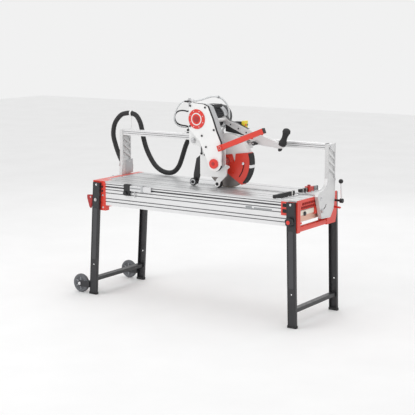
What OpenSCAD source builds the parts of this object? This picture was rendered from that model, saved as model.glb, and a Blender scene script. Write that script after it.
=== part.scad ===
// Bridge tile saw: folding-leg table, tilting rail and a belt-driven plunge head.
// Table frame: X along the cut, +Y towards the back, Z up from the floor. Millimetres.

/* [Table] */
// Height of the table top above the floor
table_h = 800; // [780:5:840]
// Distance from the middle to the outer face of each end casting
end_x = 805; // [790:5:830]
// Inner edge of the left end casting, measured from the middle
left_inner = 698; // [690:2:702]
// Inner edge of the right end casting, measured from the middle
right_inner = 738; // [734:2:742]
// Distance from the blade line to the outer face of each side rail
rail_y = 250; // [245:1:255]
// Height of the side rails
rail_h = 155; // [150:1:158]
// Width of the slot that the blade runs in
slot_w = 12; // [10:1:14]

/* [Legs] */
// Distance from the middle to each leg pivot
pivot_x = 768; // [764:1:770]
// Height of the leg pivots
pivot_z = 670; // [668:1:672]
// Outward lean of the left legs in degrees
left_splay = 3.4; // [2:0.1:4]
// Outward lean of the right legs in degrees
right_splay = 1.5; // [1:0.1:3]
// Width of the leg channel
leg_w = 58; // [54:1:60]
// Depth of the leg channel
leg_d = 20; // [18:1:22]
// Radius of the transport wheels
wheel_r = 65; // [60:1:66]

/* [Bridge] */
// Height of the underside of the beam
beam_z = 1082; // [1080:1:1084]
// Height of the beam section
beam_h = 38; // [36:1:38]
// Front face of the beam behind the blade line
beam_y = 88; // [86:1:90]
// Depth of the beam section
beam_d = 50; // [48:1:52]
// Inner face of each upright
upright_x = 808; // [808:1:812]
// Thickness of each upright
upright_t = 24; // [22:1:26]

/* [Saw head] */
// Blade radius
blade_r = 175; // [165:1:175]
// Blade axis along the cut in the rest position
blade_x = 136; // [134:1:138]
// Height of the blade axis in the rest position
blade_z = 972; // [971:1:973]
// Motor axis along the cut
motor_x = 1; // [0:1:3]
// Height of the motor axis
motor_z = 1254; // [1252:1:1256]
// Pulley radius, the same on motor and blade shaft
pulley_r = 28; // [26:1:29]
// Radius of the transport disc on the belt cover
disc_r = 64; // [60:1:64]

/* [Hidden] */
$fn = 48;

// The row's origin is the middle of the footprint, so the table frame is shifted by this
shift_x = 53.5;
shift_y = -0.5;

deck_t = 10;
rail_top = table_h - deck_t;
rail_bottom = rail_top - rail_h;
rail_t = 40;
casting_bottom = 597;
casting_front = -251.5;
casting_back = 262;
front_leg_y = -272;
back_leg_y = 272;
foot_h = 16;
foot_w = 63;
fit = 0.05;
gap = 0.3;
pin_r = 8;
plunge_x = -75;
plunge_z = 1105;
plunge_r = 10;
plate_y0 = -95;
plate_y1 = -83;
case_front = -148;
cover_front = -165;
roller_r = 26;
roller_z = table_h + roller_r + 1;
left_roller_x = -89;
right_roller_x = 104;
tap_x = -104;
tap_z = 1361;
tap_y = -124;
bar_x = 200;
bar_z = 1082;
bar_angle = 21.7;
lever_y = 226;
lever_z = 743;
knob_z = 670;
tilt_z = 788;
left_deck_end = 757;
right_deck_end = 800;
clamp_y = 8;
clamp_z = 705;

aluminium = [0.86, 0.87, 0.88];
signal_red = [0.82, 0.11, 0.08];
black = [0.06, 0.06, 0.07];
grey = [0.55, 0.56, 0.58];
white = [0.93, 0.93, 0.92];
steel = [0.72, 0.73, 0.75];
clear = [0.85, 0.9, 0.92];
yellow = [0.93, 0.83, 0.12];

// ---- shared shapes ----

module place() {
    translate([shift_x, shift_y, 0]) children();
}

// Box from its lowest corner to its highest corner
module box(low, high) {
    translate(low) cube(high - low);
}

// Extrude a Y-Z outline along X
module along_x(x0, x1) {
    translate([x0, 0, 0]) rotate([90, 0, 90]) linear_extrude(x1 - x0) children();
}

// Extrude an X-Z outline along Y
module along_y(y0, y1) {
    translate([0, y1, 0]) rotate([90, 0, 0]) linear_extrude(y1 - y0) children();
}

module y_rod(x, z, r, y0, y1) {
    translate([x, y1, z]) rotate([90, 0, 0]) cylinder(r = r, h = y1 - y0);
}

module x_rod(y, z, r, x0, x1) {
    translate([x0, y, z]) rotate([0, 90, 0]) cylinder(r = r, h = x1 - x0);
}

// Ring about an axis along Y, between two angles measured from +X towards +Z
module y_ring(x, z, r0, r1, y0, y1, a0 = 0, a1 = 360) {
    translate([x, y1, z]) rotate([90, 0, 0]) rotate([0, 0, a0])
        rotate_extrude(angle = a1 - a0, $fn = 120)
            translate([r0, 0]) square([r1 - r0, y1 - y0]);
}

// Outline of a belt loop round two pulleys of one radius
module belt_outline(r) {
    dx = blade_x - motor_x;
    dz = blade_z - motor_z;
    run = norm([dx, dz]);
    side = [-dz, dx] * r / run;
    a = [motor_x, motor_z];
    b = [blade_x, blade_z];
    translate(a) circle(r, $fn = 72);
    translate(b) circle(r, $fn = 72);
    polygon([a + side, b + side, b - side, a - side]);
}

// A tube swept along a route, as one closed polyhedron
function unit(v) = v / norm(v);
function spline(p, i, t) =
    let (n = len(p), a = p[max(i - 1, 0)], b = p[i], c = p[min(i + 1, n - 1)], d = p[min(i + 2, n - 1)])
    0.5 * (2 * b + (c - a) * t + (2 * a - 5 * b + 4 * c - d) * t * t + (3 * b - a - 3 * c + d) * t * t * t);
function smooth(p, steps) = concat(
    [for (i = [0 : len(p) - 2]) for (s = [0 : steps - 1]) spline(p, i, s / steps)], [p[len(p) - 1]]);
function tangent(q, i) = unit(q[min(i + 1, len(q) - 1)] - q[max(i - 1, 0)]);
function level(t) = unit(cross(t, [0.02, 1, 0.03]));
module tube(route, r, steps = 2, sides = 8) {
    q = smooth(route, steps);
    rings = len(q);
    points = [for (i = [0 : rings - 1]) for (k = [0 : sides - 1])
        let (t = tangent(q, i), u = level(t), v = cross(t, u), a = 360 * k / sides)
        q[i] + r * (u * cos(a) + v * sin(a))];
    walls = [for (i = [0 : rings - 2]) for (k = [0 : sides - 1])
        let (m = (k + 1) % sides)
        each [[i * sides + k, i * sides + m, (i + 1) * sides + m],
              [i * sides + k, (i + 1) * sides + m, (i + 1) * sides + k]]];
    start_cap = [for (k = [1 : sides - 2]) [0, k + 1, k]];
    last = (rings - 1) * sides;
    end_cap = [for (k = [1 : sides - 2]) [last, last + k, last + k + 1]];
    polyhedron(points, concat(walls, start_cap, end_cap), convexity = 8);
}

// ---- table ----

module rail_profile() {
    difference() {
        translate([-rail_y, rail_bottom]) square([rail_t, rail_h]);
        // two chambers beside the tee slot
        translate([-rail_y + 4, rail_bottom + 4]) square([rail_t - 8, 62]);
        translate([-rail_y + 4, rail_bottom + 70]) square([rail_t - 8, 36]);
        // tee slot in the outer face
        translate([-rail_y - 1, rail_top - 31]) square([5, 10]);
        translate([-rail_y + 4, rail_top - 36]) square([8, 20]);
        // shadow grooves
        for (z = [9, 46, 69, 107, 129])
            translate([-rail_y - 1, rail_top - z - 3]) square([4, 6]);
    }
}

module front_rail() {
    color(aluminium) along_x(-left_inner, right_inner) rail_profile();
}

module back_rail() {
    color(aluminium) along_x(-left_inner, right_inner) mirror([1, 0]) rail_profile();
}

// One deck plank with shallow grooves and underside ribs
module plank(inner, outer, grooves, ribs) {
    difference() {
        union() {
            along_x(-left_deck_end, right_deck_end)
                translate([inner, rail_top]) square([outer - inner, deck_t]);
            for (y = ribs) along_x(1 - left_inner, right_inner - 1)
                translate([y, rail_top - 22]) square([4, 23]);
        }
        for (y = grooves) along_x(-left_deck_end - 1, right_deck_end + 1)
            translate([y - 3, table_h - 3]) square([6, 4]);
    }
}

// The front plank is notched round the raised left front corner
module front_deck() {
    color(aluminium) difference() {
        plank(-rail_y, -slot_w / 2, [-181, -120, -30], [-204, -110, -16]);
        box([-left_deck_end - 1, casting_front - 1, rail_top - 1], [-702, -160, table_h + 1]);
        hub_notch();
    }
}

module back_deck() {
    color(aluminium) difference() {
        plank(slot_w / 2, rail_y, [40, 175], [14, 100, 200]);
        hub_notch();
        // chamfer that clears the blade in bevel cuts
        along_x(-left_deck_end - 1, right_deck_end + 1)
            polygon([[slot_w / 2 - 1, rail_top - 1], [slot_w / 2 - 1, table_h + 1],
                [slot_w / 2 + 11.5, table_h + 1],
                [slot_w / 2 + 0.2, rail_top - 0.3], [slot_w / 2 + 0.2, rail_top - 1]]);
    }
}

// Room for the hub of the right tilt pin
module hub_notch() {
    box([end_x - 31, -12.3, rail_top - 1], [right_deck_end + 1, 12.3, table_h + 1]);
}

// End casting, drawn for the right end
module end_casting(inner, deck_end) {
    difference() {
        union() {
            // front post
            box([inner, casting_front, casting_bottom], [end_x, -214, rail_top]);
            // back post with its sloping inner edge
            along_x(740, end_x) polygon([[casting_back, rail_top], [casting_back, 652],
                [246, casting_bottom],
                [130, casting_bottom], [130, 632], [176, 690], [214, 760], [214, rail_top]]);
            // top plate under the decks and the raised outer strip
            box([inner, -216, rail_top - 10], [end_x, casting_back, rail_top]);
            box([deck_end + 0.05, casting_front, rail_top - 1], [end_x, casting_back, table_h]);
            // outer panel
            box([end_x - 22, -216, 737], [end_x, 216, rail_top]);
            // tab behind the tilt sector
            box([end_x - 8, -28, 690], [end_x, 62, 740]);
            // ledges that carry the water tank
            box([inner, -216, tank_z - 12], [end_x, -196, tank_z]);
            box([740, 118, tank_z - 12], [end_x, 196, tank_z]);
            x_rod(0, tilt_z, 12, end_x - 30, end_x + 2);
        }
        // pockets between the honeycomb ribs
        for (row = [0, 1]) for (i = [0 : 7])
            translate([end_x - 8, -196 + i * 25 + row * 12.5, 750 + row * 22])
                rotate([0, 90, 0]) cylinder(r = 11, h = 12, $fn = 6);
        // hollow rear of the front post and of the back post
        box([inner + 8, -244, casting_bottom + 8], [end_x - 30, -222, rail_top - 12]);
        box([748, 224, 640], [end_x - 12, 254, rail_top - 12]);
        // bores for the tilt pin, the sector clamp, the leg pivots and the tilt lever
        x_rod(0, tilt_z, pin_r + fit, end_x - 31, end_x + 9);
        x_rod(clamp_y, clamp_z, 4.7 + fit, end_x - 9, end_x + 1);
        y_rod(pivot_x, pivot_z, pin_r + fit, casting_front - 1, -213);
        y_rod(pivot_x, pivot_z, pin_r + fit, 213, casting_back + 1);
        x_rod(lever_y, lever_z, 7 + gap, end_x - 13, end_x + 1);
    }
}

// Left casting with its raised front corner, flange holes and the lug of the leg lever
module left_casting() {
    color(signal_red) difference() {
        union() {
            mirror([1, 0, 0]) end_casting(left_inner, left_deck_end);
            box([-left_deck_end - 1, casting_front, rail_top - 1], [-702.05, -160.05, table_h]);
            box([-842, -229, lug_z - 10], [1 - end_x, -217, lug_z + 10]);
        }
        y_rod(lug_x, lug_z, 4 + gap, -230, -216);
        for (z = [731, 760]) y_rod(-726, z, 7, casting_front - 1, -243);
    }
}

// Right casting with the ear that overlaps the rail
module right_casting() {
    color(signal_red) difference() {
        union() {
            end_casting(right_inner, right_deck_end);
            box([688, casting_front, 703], [right_inner + 1, -rail_y - 0.05, 789]);
        }
        for (z = [718, 754]) box([698, casting_front - 1, z], [726, -rail_y + 1, z + 24]);
    }
}

lug_x = -828;
lug_z = 682;

// Lifting bars between the posts of each end casting
module handle_bars() {
    color(signal_red) for (side = [-1, 1]) difference() {
        box([side * 785 - 17, -214, 602], [side * 785 + 17, 130, 630]);
        box([side * 785 - 14, -215, 605], [side * 785 + 14, 131, 627]);
    }
}

tank_x = 795;
tank_z = 660;
tank_h = 71;

module water_tank() {
    color(steel) difference() {
        box([-tank_x, -205, tank_z], [tank_x, 127, tank_z + tank_h]);
        box([2 - tank_x, -203, tank_z + 2], [tank_x - 2, 125, tank_z + tank_h + 1]);
        // drain
        x_rod(-150, 708, 8, tank_x - 4, tank_x + 1);
    }
}

module water_pump() {
    color(black) {
        box([-600, -60, tank_z + 2], [-500, 40, tank_z + 14]);
        translate([-550, -10, tank_z + 14]) cylinder(r = 42, h = 48);
        translate([-550, -10, tank_z + 62]) cylinder(r = 8, h = 22);
    }
}

fence_x = 655;
fence_angle = 2.5;

fence_h = 25;

// The fence is set a little askew across the table
module fence_frame() {
    translate([fence_x, 0, table_h]) rotate([0, 0, -fence_angle]) children();
}

// Stop fence in two lengths on base strips, with the blade line left open
module fence_bars() {
    fence_frame() {
        for (part = [[-264, -36], [30, 248]]) color(black) box([-8, part[0], 4], [8, part[1], fence_h]);
        for (part = [[-246, -36], [30, 246]]) color(steel) box([-14, part[0], 0], [44, part[1], 4]);
    }
}

module table_fasteners() {
    color(steel) {
        for (side = [-1, 1]) {
            // tilt pins and sector clamps
            mirror([side < 0 ? 1 : 0, 0, 0]) {
                x_rod(0, tilt_z, pin_r, end_x - 29, outer_x + 5);
                x_rod(clamp_y, clamp_z, 4.7, end_x - 8, outer_x + 8);
                x_rod(clamp_y, clamp_z, 12, outer_x + 0.4, outer_x + 11);
            }
            // leg pivots
            y_rod(side * pivot_x, pivot_z, pin_r, -277, -216);
            y_rod(side * pivot_x, pivot_z, pin_r, 216, 277);
        }
        // screws sunk in the left front flange
        for (z = [618, 702]) y_rod(-722, z, 6, casting_front - 0.4, casting_front);
        // screws that hold the fence
        fence_frame() for (y = [-150, -60, 60, 130]) translate([34, y, 4]) cylinder(r = 5, h = 4);
    }
}

// ---- folding legs and wheels ----

// Move from the leg's own frame, pivot at the origin, to its place
module lean(side, splay) {
    translate([side * pivot_x, 0, pivot_z]) rotate([0, -side * splay, 0]) children();
}

// One leg channel with its web towards y_web and its lips towards the other side
module leg_channel(y_web, toward) {
    wall = 3;
    y0 = min(y_web, y_web + toward * leg_d);
    difference() {
        box([-leg_w / 2, y0, -pivot_z - 6], [leg_w / 2, y0 + leg_d, 120]);
        box([-leg_w / 2 + wall, min(y_web + toward * wall, y_web + toward * (leg_d + 1)), -pivot_z - 7],
            [leg_w / 2 - wall, max(y_web + toward * wall, y_web + toward * (leg_d + 1)), 121]);
        y_rod(0, 0, pin_r + fit, y0 - 1, y0 + leg_d + 1);
        y_rod(0, -457, 5, y0 - 1, y0 + leg_d + 1);
        y_rod(0, 105, 5, y0 - 1, y0 + leg_d + 1);
    }
}

module leg_pair(side, splay) {
    color(black) difference() {
        union() {
            lean(side, splay) {
                leg_channel(front_leg_y, 1);
                leg_channel(back_leg_y + leg_d, -1);
                // cross tube welded between the two webs
                difference() {
                    box([-20, front_leg_y + 2, -574], [20, back_leg_y + leg_d - 2, -550]);
                    box([-17, front_leg_y + 1, -571], [17, back_leg_y + leg_d - 1, -553]);
                }
            }
        }
        box([-1200, -400, -60], [1200, 400, 5]);
    }
}

module feet(side, splay) {
    color(black) difference() {
        x = side * (pivot_x + pivot_z * tan(splay));
        for (y = [front_leg_y, back_leg_y])
            box([x - foot_w / 2, y - 2, 0], [x + foot_w / 2, y + leg_d + 2, foot_h]);
        difference() {
            lean(side, splay) for (y = [front_leg_y, back_leg_y])
                box([-leg_w / 2 - 0.1, y - 0.1, -pivot_z - 20], [leg_w / 2 + 0.1, y + leg_d + 0.1, 0]);
            box([-1200, -400, -60], [1200, 400, 4.9]);
        }
    }
}

module left_legs() { leg_pair(-1, left_splay); }

module right_legs() { leg_pair(1, right_splay); }

module left_feet() { feet(-1, left_splay); }

module right_feet() { feet(1, right_splay); }

wheel_x = -916;
wheel_w = 24;
wheel_ys = [front_leg_y + leg_d / 2, back_leg_y + leg_d / 2];

// X of the outer face of a leaning left leg at a given height
function leg_face(z) = -pivot_x - (pivot_z - z) * tan(left_splay) - leg_w / 2 / cos(left_splay) - fit;

// Outline of a fork plate whose inner edge follows the lean of the leg
module fork_outline(back) {
    low = wheel_r - 21;
    top = wheel_r + 21;
    polygon([[leg_face(low), low], [leg_face(top), top], [back ? leg_face(top) - 4 : wheel_x, top],
        [back ? leg_face(low) - 4 : wheel_x, low]]);
}

// Black fork plates with the axle bolt, one pair for each wheel
module wheel_forks() {
    for (y = wheel_ys) {
        color(black) difference() {
            union() {
                for (s = [-1, 1]) {
                    along_y(y + s * 16 - 2, y + s * 16 + 2) fork_outline(false);
                    y_rod(wheel_x, wheel_r, 21, y + s * 16 - 2, y + s * 16 + 2);
                }
                along_y(y - 18, y + 18) fork_outline(true);
            }
            y_rod(wheel_x, wheel_r, 6, y - 30, y + 30);
        }
        color(steel) {
            y_rod(wheel_x, wheel_r, 6, y - 22, y + 22);
            y_rod(wheel_x, wheel_r, 10, y - 25, y - 18);
            y_rod(wheel_x, wheel_r, 10, y + 18, y + 25);
        }
    }
}

module wheel(y) {
    translate([wheel_x, y, wheel_r]) rotate([90, 0, 0]) rotate_extrude($fn = 72) difference() {
        translate([6 + fit, -wheel_w / 2]) square([wheel_r - 6 - fit, wheel_w]);
        for (s = [-1, 1]) translate([18, s * wheel_w / 2 - 5]) square([24, 10]);
    }
}

module front_wheel() { color(grey) wheel(wheel_ys[0]); }

module back_wheel() { color(grey) wheel(wheel_ys[1]); }

// ---- bridge ----

// Outline of an upright and its tilt sector, in Y and Z; only the right one has a raised toe
module upright_outline(raised) {
    toe = raised ? [[-44, 800], [-34, 818], [-8, 826], [36, 832], [70, 856]] : [[-40, 780], [-30, 799],
        [70, 799]];
    polygon(concat([[84, 1118], [upright_back, 1118], [upright_back, 790], [166, 705], [122, 648],
        [10, 654]],
        toe, [[84, 900]]));
}

upright_back = 180;
outer_x = upright_x + upright_t;

// Upright drawn for the right end, with pockets between diagonal ribs on both faces
module upright(raised) {
    x0 = upright_x;
    x1 = upright_x + upright_t;
    slot_r = norm([clamp_y, tilt_z - clamp_z]);
    difference() {
        along_x(x0, x1) upright_outline(raised);
        for (face = [x0 - 1, x1 - 9]) {
            for (i = [0 : 3]) along_x(face, face + 10)
                polygon([[92, 1104 - i * 46], [92, 1078 - i * 46], [172, 1026 - i * 46],
                    [172, 1056 - i * 46]]);
        }
        // hub bore and clamp slot of the tilt sector
        x_rod(0, tilt_z, pin_r + fit, x0 - 1, x1 + 1);
        translate([x0 - 1, 0, tilt_z]) rotate([90, 0, 90]) rotate([0, 0, -86])
            rotate_extrude(angle = 50, $fn = 120) translate([slot_r - 5.2, 0]) square([10.4, upright_t + 2]);
        x_rod(clamp_y, clamp_z, 5.2, x0 - 1, x1 + 1);
        // bolt holes of the beam joint
        for (z = [beam_z + 10, beam_z + 28]) x_rod(beam_y + beam_d / 2, z, 4.25, x0 - 1, x1 + 1);
    }
}

// Left upright with the bolted grey plate on its inner face
module left_upright() {
    color(aluminium) {
        mirror([1, 0, 0]) upright(false);
        box([-upright_x - 3, 114, 805], [-end_x - 0.6, 198, 903]);
    }
    color(steel) x_rod(160, 884, 6, -end_x - 0.65, -end_x - 0.2);
}

module right_upright() { color(aluminium) upright(true); }

module beam() {
    color(aluminium) along_x(-upright_x, upright_x) difference() {
        translate([beam_y, beam_z]) square([beam_d, beam_h]);
        translate([beam_y + 4, beam_z + 4]) square([beam_d - 8, beam_h - 8]);
        for (z = [12, 24]) {
            translate([beam_y - 1, beam_z + z]) square([3, 3]);
            translate([beam_y + beam_d - 2, beam_z + z]) square([3, 3]);
        }
    }
}

conduit_foot_y = 199;
wire_x = -840;
wire_y = 231;
clip_z = 1222;

// Spring wire that holds the conduit up, with its clip and foot, and the lower conduit gland
module conduit_clips() {
    color(black) {
        box([-outer_x, 180.6, 824], [14 - outer_x, 216, 860]);
        x_rod(conduit_foot_y, 842, 18, -841, 0.1 - outer_x);
    }
    color(white) {
        box([-845, 180.6, 1086], [-812, 236, 1092]);
        translate([wire_x, wire_y, 1092]) cylinder(r = 2.5, h = clip_z - conduit_r - 4 - 1092);
        difference() {
            x_rod(wire_y, clip_z, conduit_r + 5, wire_x - 6, wire_x + 6);
            x_rod(wire_y, clip_z, conduit_r + 1.5, wire_x - 7, wire_x + 7);
        }
    }
}

conduit_r = 17;
gland = [-316, 205, 1094];
conduit_route = [[-841.05, 199, 842], [-851, 199, 842], [-861, 199, 842], [-905, 212, 858],
    [-952, 228, 910], [-988, 232, 985], [-1008, 232, 1062], [-992, 232, 1142], [-938, 232, 1203],
    [-882, 231, 1221], [-840, 231, 1222], [-796, 230, 1208], [-760, 226, 1164], [-738, 222, 1104],
    [-722, 218, 1046], [-695, 213, 980], [-658, 209, 920], [-614, 206, 868], [-561, 205, 834],
    [-501, 205, 822], [-448, 205, 834], [-408, 205, 874], [-384, 205, 925], [-364, 205, 980],
    [-348, 205, 1022], [-334, 205, 1050], [-321, 205, 1070], [-316, 205, 1082], [-316, 205, 1088],
    [-316, 205, 1093.95]];

module power_conduit() { color(black) tube(conduit_route, conduit_r, 2, 10); }

// ---- carriage ----

truck_x0 = -18;
truck_x1 = 232;
bracket_z = 1122;

// Box round the beam with low-friction shoes, closed at the front by the carriage plate
module carriage_truck() {
    color(aluminium) difference() {
        box([truck_x0, 72, 1052], [truck_x1, 154, 1136]);
        box([truck_x0 - 1, beam_y - 6, beam_z - 6],
            [truck_x1 + 1, beam_y + beam_d + 6, beam_z + beam_h + 6]);
        for (x = [truck_x0 + 30, truck_x1 - 30]) translate([x, 113, 1120]) cylinder(r = 6, h = 20);
    }
    color(black) for (x = [truck_x0 + 4, truck_x1 - 44]) {
        box([x, beam_y + 6, beam_z + beam_h + gap], [x + 40, beam_y + beam_d - 6, beam_z + beam_h + 6]);
        box([x, beam_y + 6, beam_z - 6], [x + 40, beam_y + beam_d - 6, beam_z - gap]);
        box([x, beam_y - 6, beam_z + 20], [x + 40, beam_y - gap, beam_z + 28]);
        box([x, beam_y + beam_d + gap, beam_z + 20], [x + 40, beam_y + beam_d + 6, beam_z + 28]);
    }
}

// Front plate with stand-offs, the plunge pin and the bracket for the conduit gland
module carriage_plate() {
    color(white) {
        along_y(40, 52) polygon([[-190, 1146], [-190, 1082], [-176, 1068], [40, 1062], [120, 1034],
            [232, 1034],
            [244, 1050], [244, 1120], [230, 1131], [-70, 1131], [-110, 1152], [-176, 1154]]);
        box([truck_x0 + 6, 52, 1064], [truck_x0 + 46, 72, 1128]);
        box([truck_x1 - 46, 52, 1064], [truck_x1 - 6, 72, 1128]);
        box([-190, 52, bracket_z], [-150, 150, bracket_z + 6]);
        translate([0, 0, bracket_z]) linear_extrude(6)
            polygon([[-190, 149], [-150, 149], [-290, 225], [-342, 225], [-342, 182], [-290, 180]]);
    }
    color(steel) {
        y_rod(plunge_x, plunge_z, plunge_r, -99, 40);
        y_rod(plunge_x, plunge_z, plunge_r + 7, -104, -98.9);
        y_rod(plunge_x, plunge_z, plunge_r + 7, -70, 40);
    }
    color(black) difference() {
        translate([gland[0], gland[1], gland[2]]) cylinder(r = 19, h = bracket_z - gland[2]);
        translate([gland[0], gland[1], gland[2] - 1]) cylinder(r = 10, h = 20);
    }
    color(black) translate([gland[0], gland[1], bracket_z + 6]) cylinder(r = 18.5, h = 13);
}

// ---- saw head ----

module head_plate() {
    color(white) difference() {
        along_y(plate_y0, plate_y1) polygon([[-108, 1082], [-112, 1150], [-98, 1235], [-92, 1330],
            [-60, 1354],
            [36, 1352], [74, 1300], [128, 1180], [166, 1090], [170, 1040], [171, 960], [200, 952],
                [201, 940],
            [184, 928], [181, 890], [170, 876], [-14, 872], [-22, 884], [-22, 1066], [-60, 1072]]);
        y_rod(motor_x, motor_z, 22, plate_y0 - 1, plate_y1 + 1);
        y_rod(blade_x, blade_z, 31 + gap, plate_y0 - 1, plate_y1 + 1);
        y_rod(plunge_x, plunge_z, plunge_r + fit, plate_y0 - 1, plate_y1 + 1);
    }
}

// Outer outline of the cover, wider than the case at the lower end
module cover_outline() {
    polygon([[-66, 1190], [-64, 1330], [-50, 1352], [-36, 1358], [50, 1352], [84, 1338], [120, 1261],
        [151, 1178],
        [183, 1112], [190, 1040], [blade_x + 49, blade_z + 14], [blade_x - 47.4, blade_z - 19],
        [blade_x - 54, blade_z + 8], [46, 1056], [20, 1110], [-40, 1168]]);
    translate([blade_x, blade_z]) circle(51, $fn = 72);
}

module case_outline() {
    polygon([[-60, 1194], [-58, 1330], [-50, 1346], [-36, 1354], [50, 1350], [82, 1334], [118, 1261],
        [151, 1178],
        [172, 1110], [168, 1060], [171, 1010], [blade_x + 38, blade_z], [blade_x - 38, blade_z],
        [52, 1058], [26, 1112], [-34, 1168]]);
    translate([blade_x, blade_z]) circle(38, $fn = 72);
}

// Grey channel behind the cover, closed at the back
module belt_case() {
    color(grey) {
        difference() {
            along_y(case_front, plate_y0 - 0.05) case_outline();
            along_y(case_front - 1, plate_y0 - 5) belt_outline(34);
            y_rod(motor_x, motor_z, 22, plate_y0 - 10, plate_y0 + 1);
            y_rod(blade_x, blade_z, 31 + gap, plate_y0 - 10, plate_y0 + 1);
        }
    }
}

// Cover with the ear and the stud that carry the lock bar
module belt_cover() {
    color(white) difference() {
        union() {
            along_y(cover_front, case_front - 0.4) cover_outline();
            box([168, cover_front + 1, bar_z - 15], [bar_x, case_front - 0.5, bar_z + 15]);
            y_rod(bar_x, bar_z, 15, cover_front + 1, case_front - 0.5);
        }
        along_y(cover_front + 5, case_front + 1) belt_outline(33);
        y_rod(blade_x, blade_z, 18, cover_front - 1, case_front);
    }
    color(steel) {
        y_rod(bar_x, bar_z, 6, -200, cover_front + 2);
        y_rod(bar_x, bar_z, 10, -203, -197.3);
    }
}

// Red access disc over the motor pulley and red cap over the blade shaft
module cover_discs() {
    color(signal_red) {
        y_rod(motor_x, motor_z, disc_r, cover_front - 5, cover_front);
        difference() {
            y_rod(blade_x, blade_z, 31, cover_front - 14, cover_front);
            y_rod(blade_x, blade_z, 18, cover_front - 9, cover_front + 1);
        }
    }
}

module spindle_housing() {
    color(steel) difference() {
        union() {
            y_rod(blade_x, blade_z, 31, plate_y0, -12);
            y_rod(blade_x, blade_z, 36, plate_y1 + 0.05, plate_y1 + 6);
        }
        y_rod(blade_x, blade_z, 24, plate_y0 - 1, -11);
    }
}

module spindle_bearings() {
    color(steel) for (y = [plate_y0 + 4, -34]) difference() {
        y_rod(blade_x, blade_z, 23.95, y, y + 16);
        y_rod(blade_x, blade_z, 12 + fit, y - 1, y + 17);
    }
}

// Fixed white cover over the upper half of the blade
module blade_cover() {
    color(white) {
        difference() {
            along_y(-22, -20) union() {
                translate([blade_x, blade_z]) intersection() {
                    circle(182, $fn = 120);
                    translate([-190, 0]) square([380, 190]);
                }
                // lug that carries the guard screw
                translate([blade_x + 60, blade_z - 24]) square([112, 26]);
                translate([blade_x, blade_z]) circle(44, $fn = 60);
            }
            y_rod(blade_x, blade_z, 31 + gap, -23, -19);
        }
        difference() {
            along_y(16, 18) translate([blade_x, blade_z]) intersection() {
                circle(182, $fn = 120);
                translate([-190, 0]) square([380, 190]);
            }
            y_rod(blade_x, blade_z, 30, 15, 19);
        }
        y_ring(blade_x, blade_z, 181.9, 185, -22, 18, 0, 180);
    }
    // water inlet
    color(black) translate([inlet_x, -2, 1150]) cylinder(r = 7, h = 8);
}

module motor_body() {
    color(black) difference() {
        union() {
            y_rod(motor_x, motor_z, 68, plate_y1 + 0.05, 92);
            y_rod(motor_x, motor_z, 74, plate_y1 + 0.05, -70);
            y_rod(motor_x, motor_z, 74, 78, 92);
            for (i = [0 : 17]) translate([motor_x, 0, motor_z]) rotate([0, i * 20 + 4, 0])
                box([-1.5, -71, 66], [1.5, 79, 74]);
            // terminal box on top
            box([motor_x - 34, -30, motor_z + 60], [motor_x + 40, 70, motor_z + 84]);
        }
        y_rod(motor_x, motor_z, 52, -70, 80);
        y_rod(motor_x, motor_z, 12 + gap, -90, 100);
    }
}

module fan_cover() {
    color(black) difference() {
        y_rod(motor_x, motor_z, 75, 92.05, 140);
        y_rod(motor_x, motor_z, 71, 92, 136);
        for (r = [22, 36, 50, 62]) for (k = [0 : 3])
            y_ring(motor_x, motor_z, r - 4, r + 4, 135, 141, k * 90 + 8, k * 90 + 82);
    }
}

arm_y0 = 8;
arm_y1 = 34;

grip_lean = 20;

// Move to the foot of the grip, with Z along its axis
module grip_frame() {
    translate([530, 21, 1096]) rotate([0, grip_lean, 0]) children();
}

module handle_arm() {
    color(aluminium) {
        difference() {
            along_y(arm_y0, arm_y1) polygon([[86, 1262], [104, 1268], [126, 1246], [142, 1236],
                [204, 1221],
                [283, 1189], [387, 1154], [470, 1128], [505, 1117], [540, 1103], [548, 1092], [536, 1080],
                [500, 1078], [470, 1084], [404, 1088], [340, 1098], [300, 1118], [255, 1150], [160, 1190],
                [92, 1222]]);
            for (x = [150, 210, 270]) y_rod(x, 1213 - (x - 150) * 0.38, 6, arm_y0 - 1, arm_y1 + 1);
        }
        y_rod(100, 1244, 13, plate_y1 + 0.05, arm_y0 + 1);
        grip_frame() cylinder(r = 8, h = 108);
    }
    color(black) {
        // stiffening web under the arm
        along_y(arm_y0 + 4, arm_y1 - 4) polygon([[108, 1216], [160, 1192], [256, 1152], [272, 1146],
            [108, 1166]]);
        // clamping knob on the front face
        y_rod(337, 1102, 12, -16, arm_y0 + 1);
        box([337, -16, 1096], [366, -8, 1108]);
    }
}

module hand_grip() {
    color(black) grip_frame() difference() {
        rotate_extrude($fn = 48) polygon([[0, 15], [26, 15], [27, 22], [21, 32], [19, 56], [18, 82],
            [21, 96],
            [24, 106], [22, 114], [14, 118], [0, 119]]);
        cylinder(r = 8 + fit, h = 109);
    }
}

// Switch housing on the handle arm, its lid towards the grip
switch_x = 236;
switch_y = 57;
switch_z = 1212;
button_r = 6;
stop_y = switch_y - 11;
start_y = switch_y + 11;
module switch_box() {
    color(yellow) difference() {
        union() {
            box([switch_x - 18, arm_y1 + fit, 1188], [switch_x, 80, 1237]);
            box([switch_x - 84, 40, 1204], [switch_x - 17, 76, 1230]);
        }
        for (y = [stop_y, start_y]) x_rod(y, switch_z, button_r + gap, switch_x - 12, switch_x + 1);
    }
}

module start_button() {
    color([0.1, 0.55, 0.2]) x_rod(start_y, switch_z, button_r, switch_x - 6, switch_x + 6);
}

module stop_button() {
    color(signal_red) x_rod(stop_y, switch_z, button_r, switch_x - 6, switch_x + 8);
}

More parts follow.
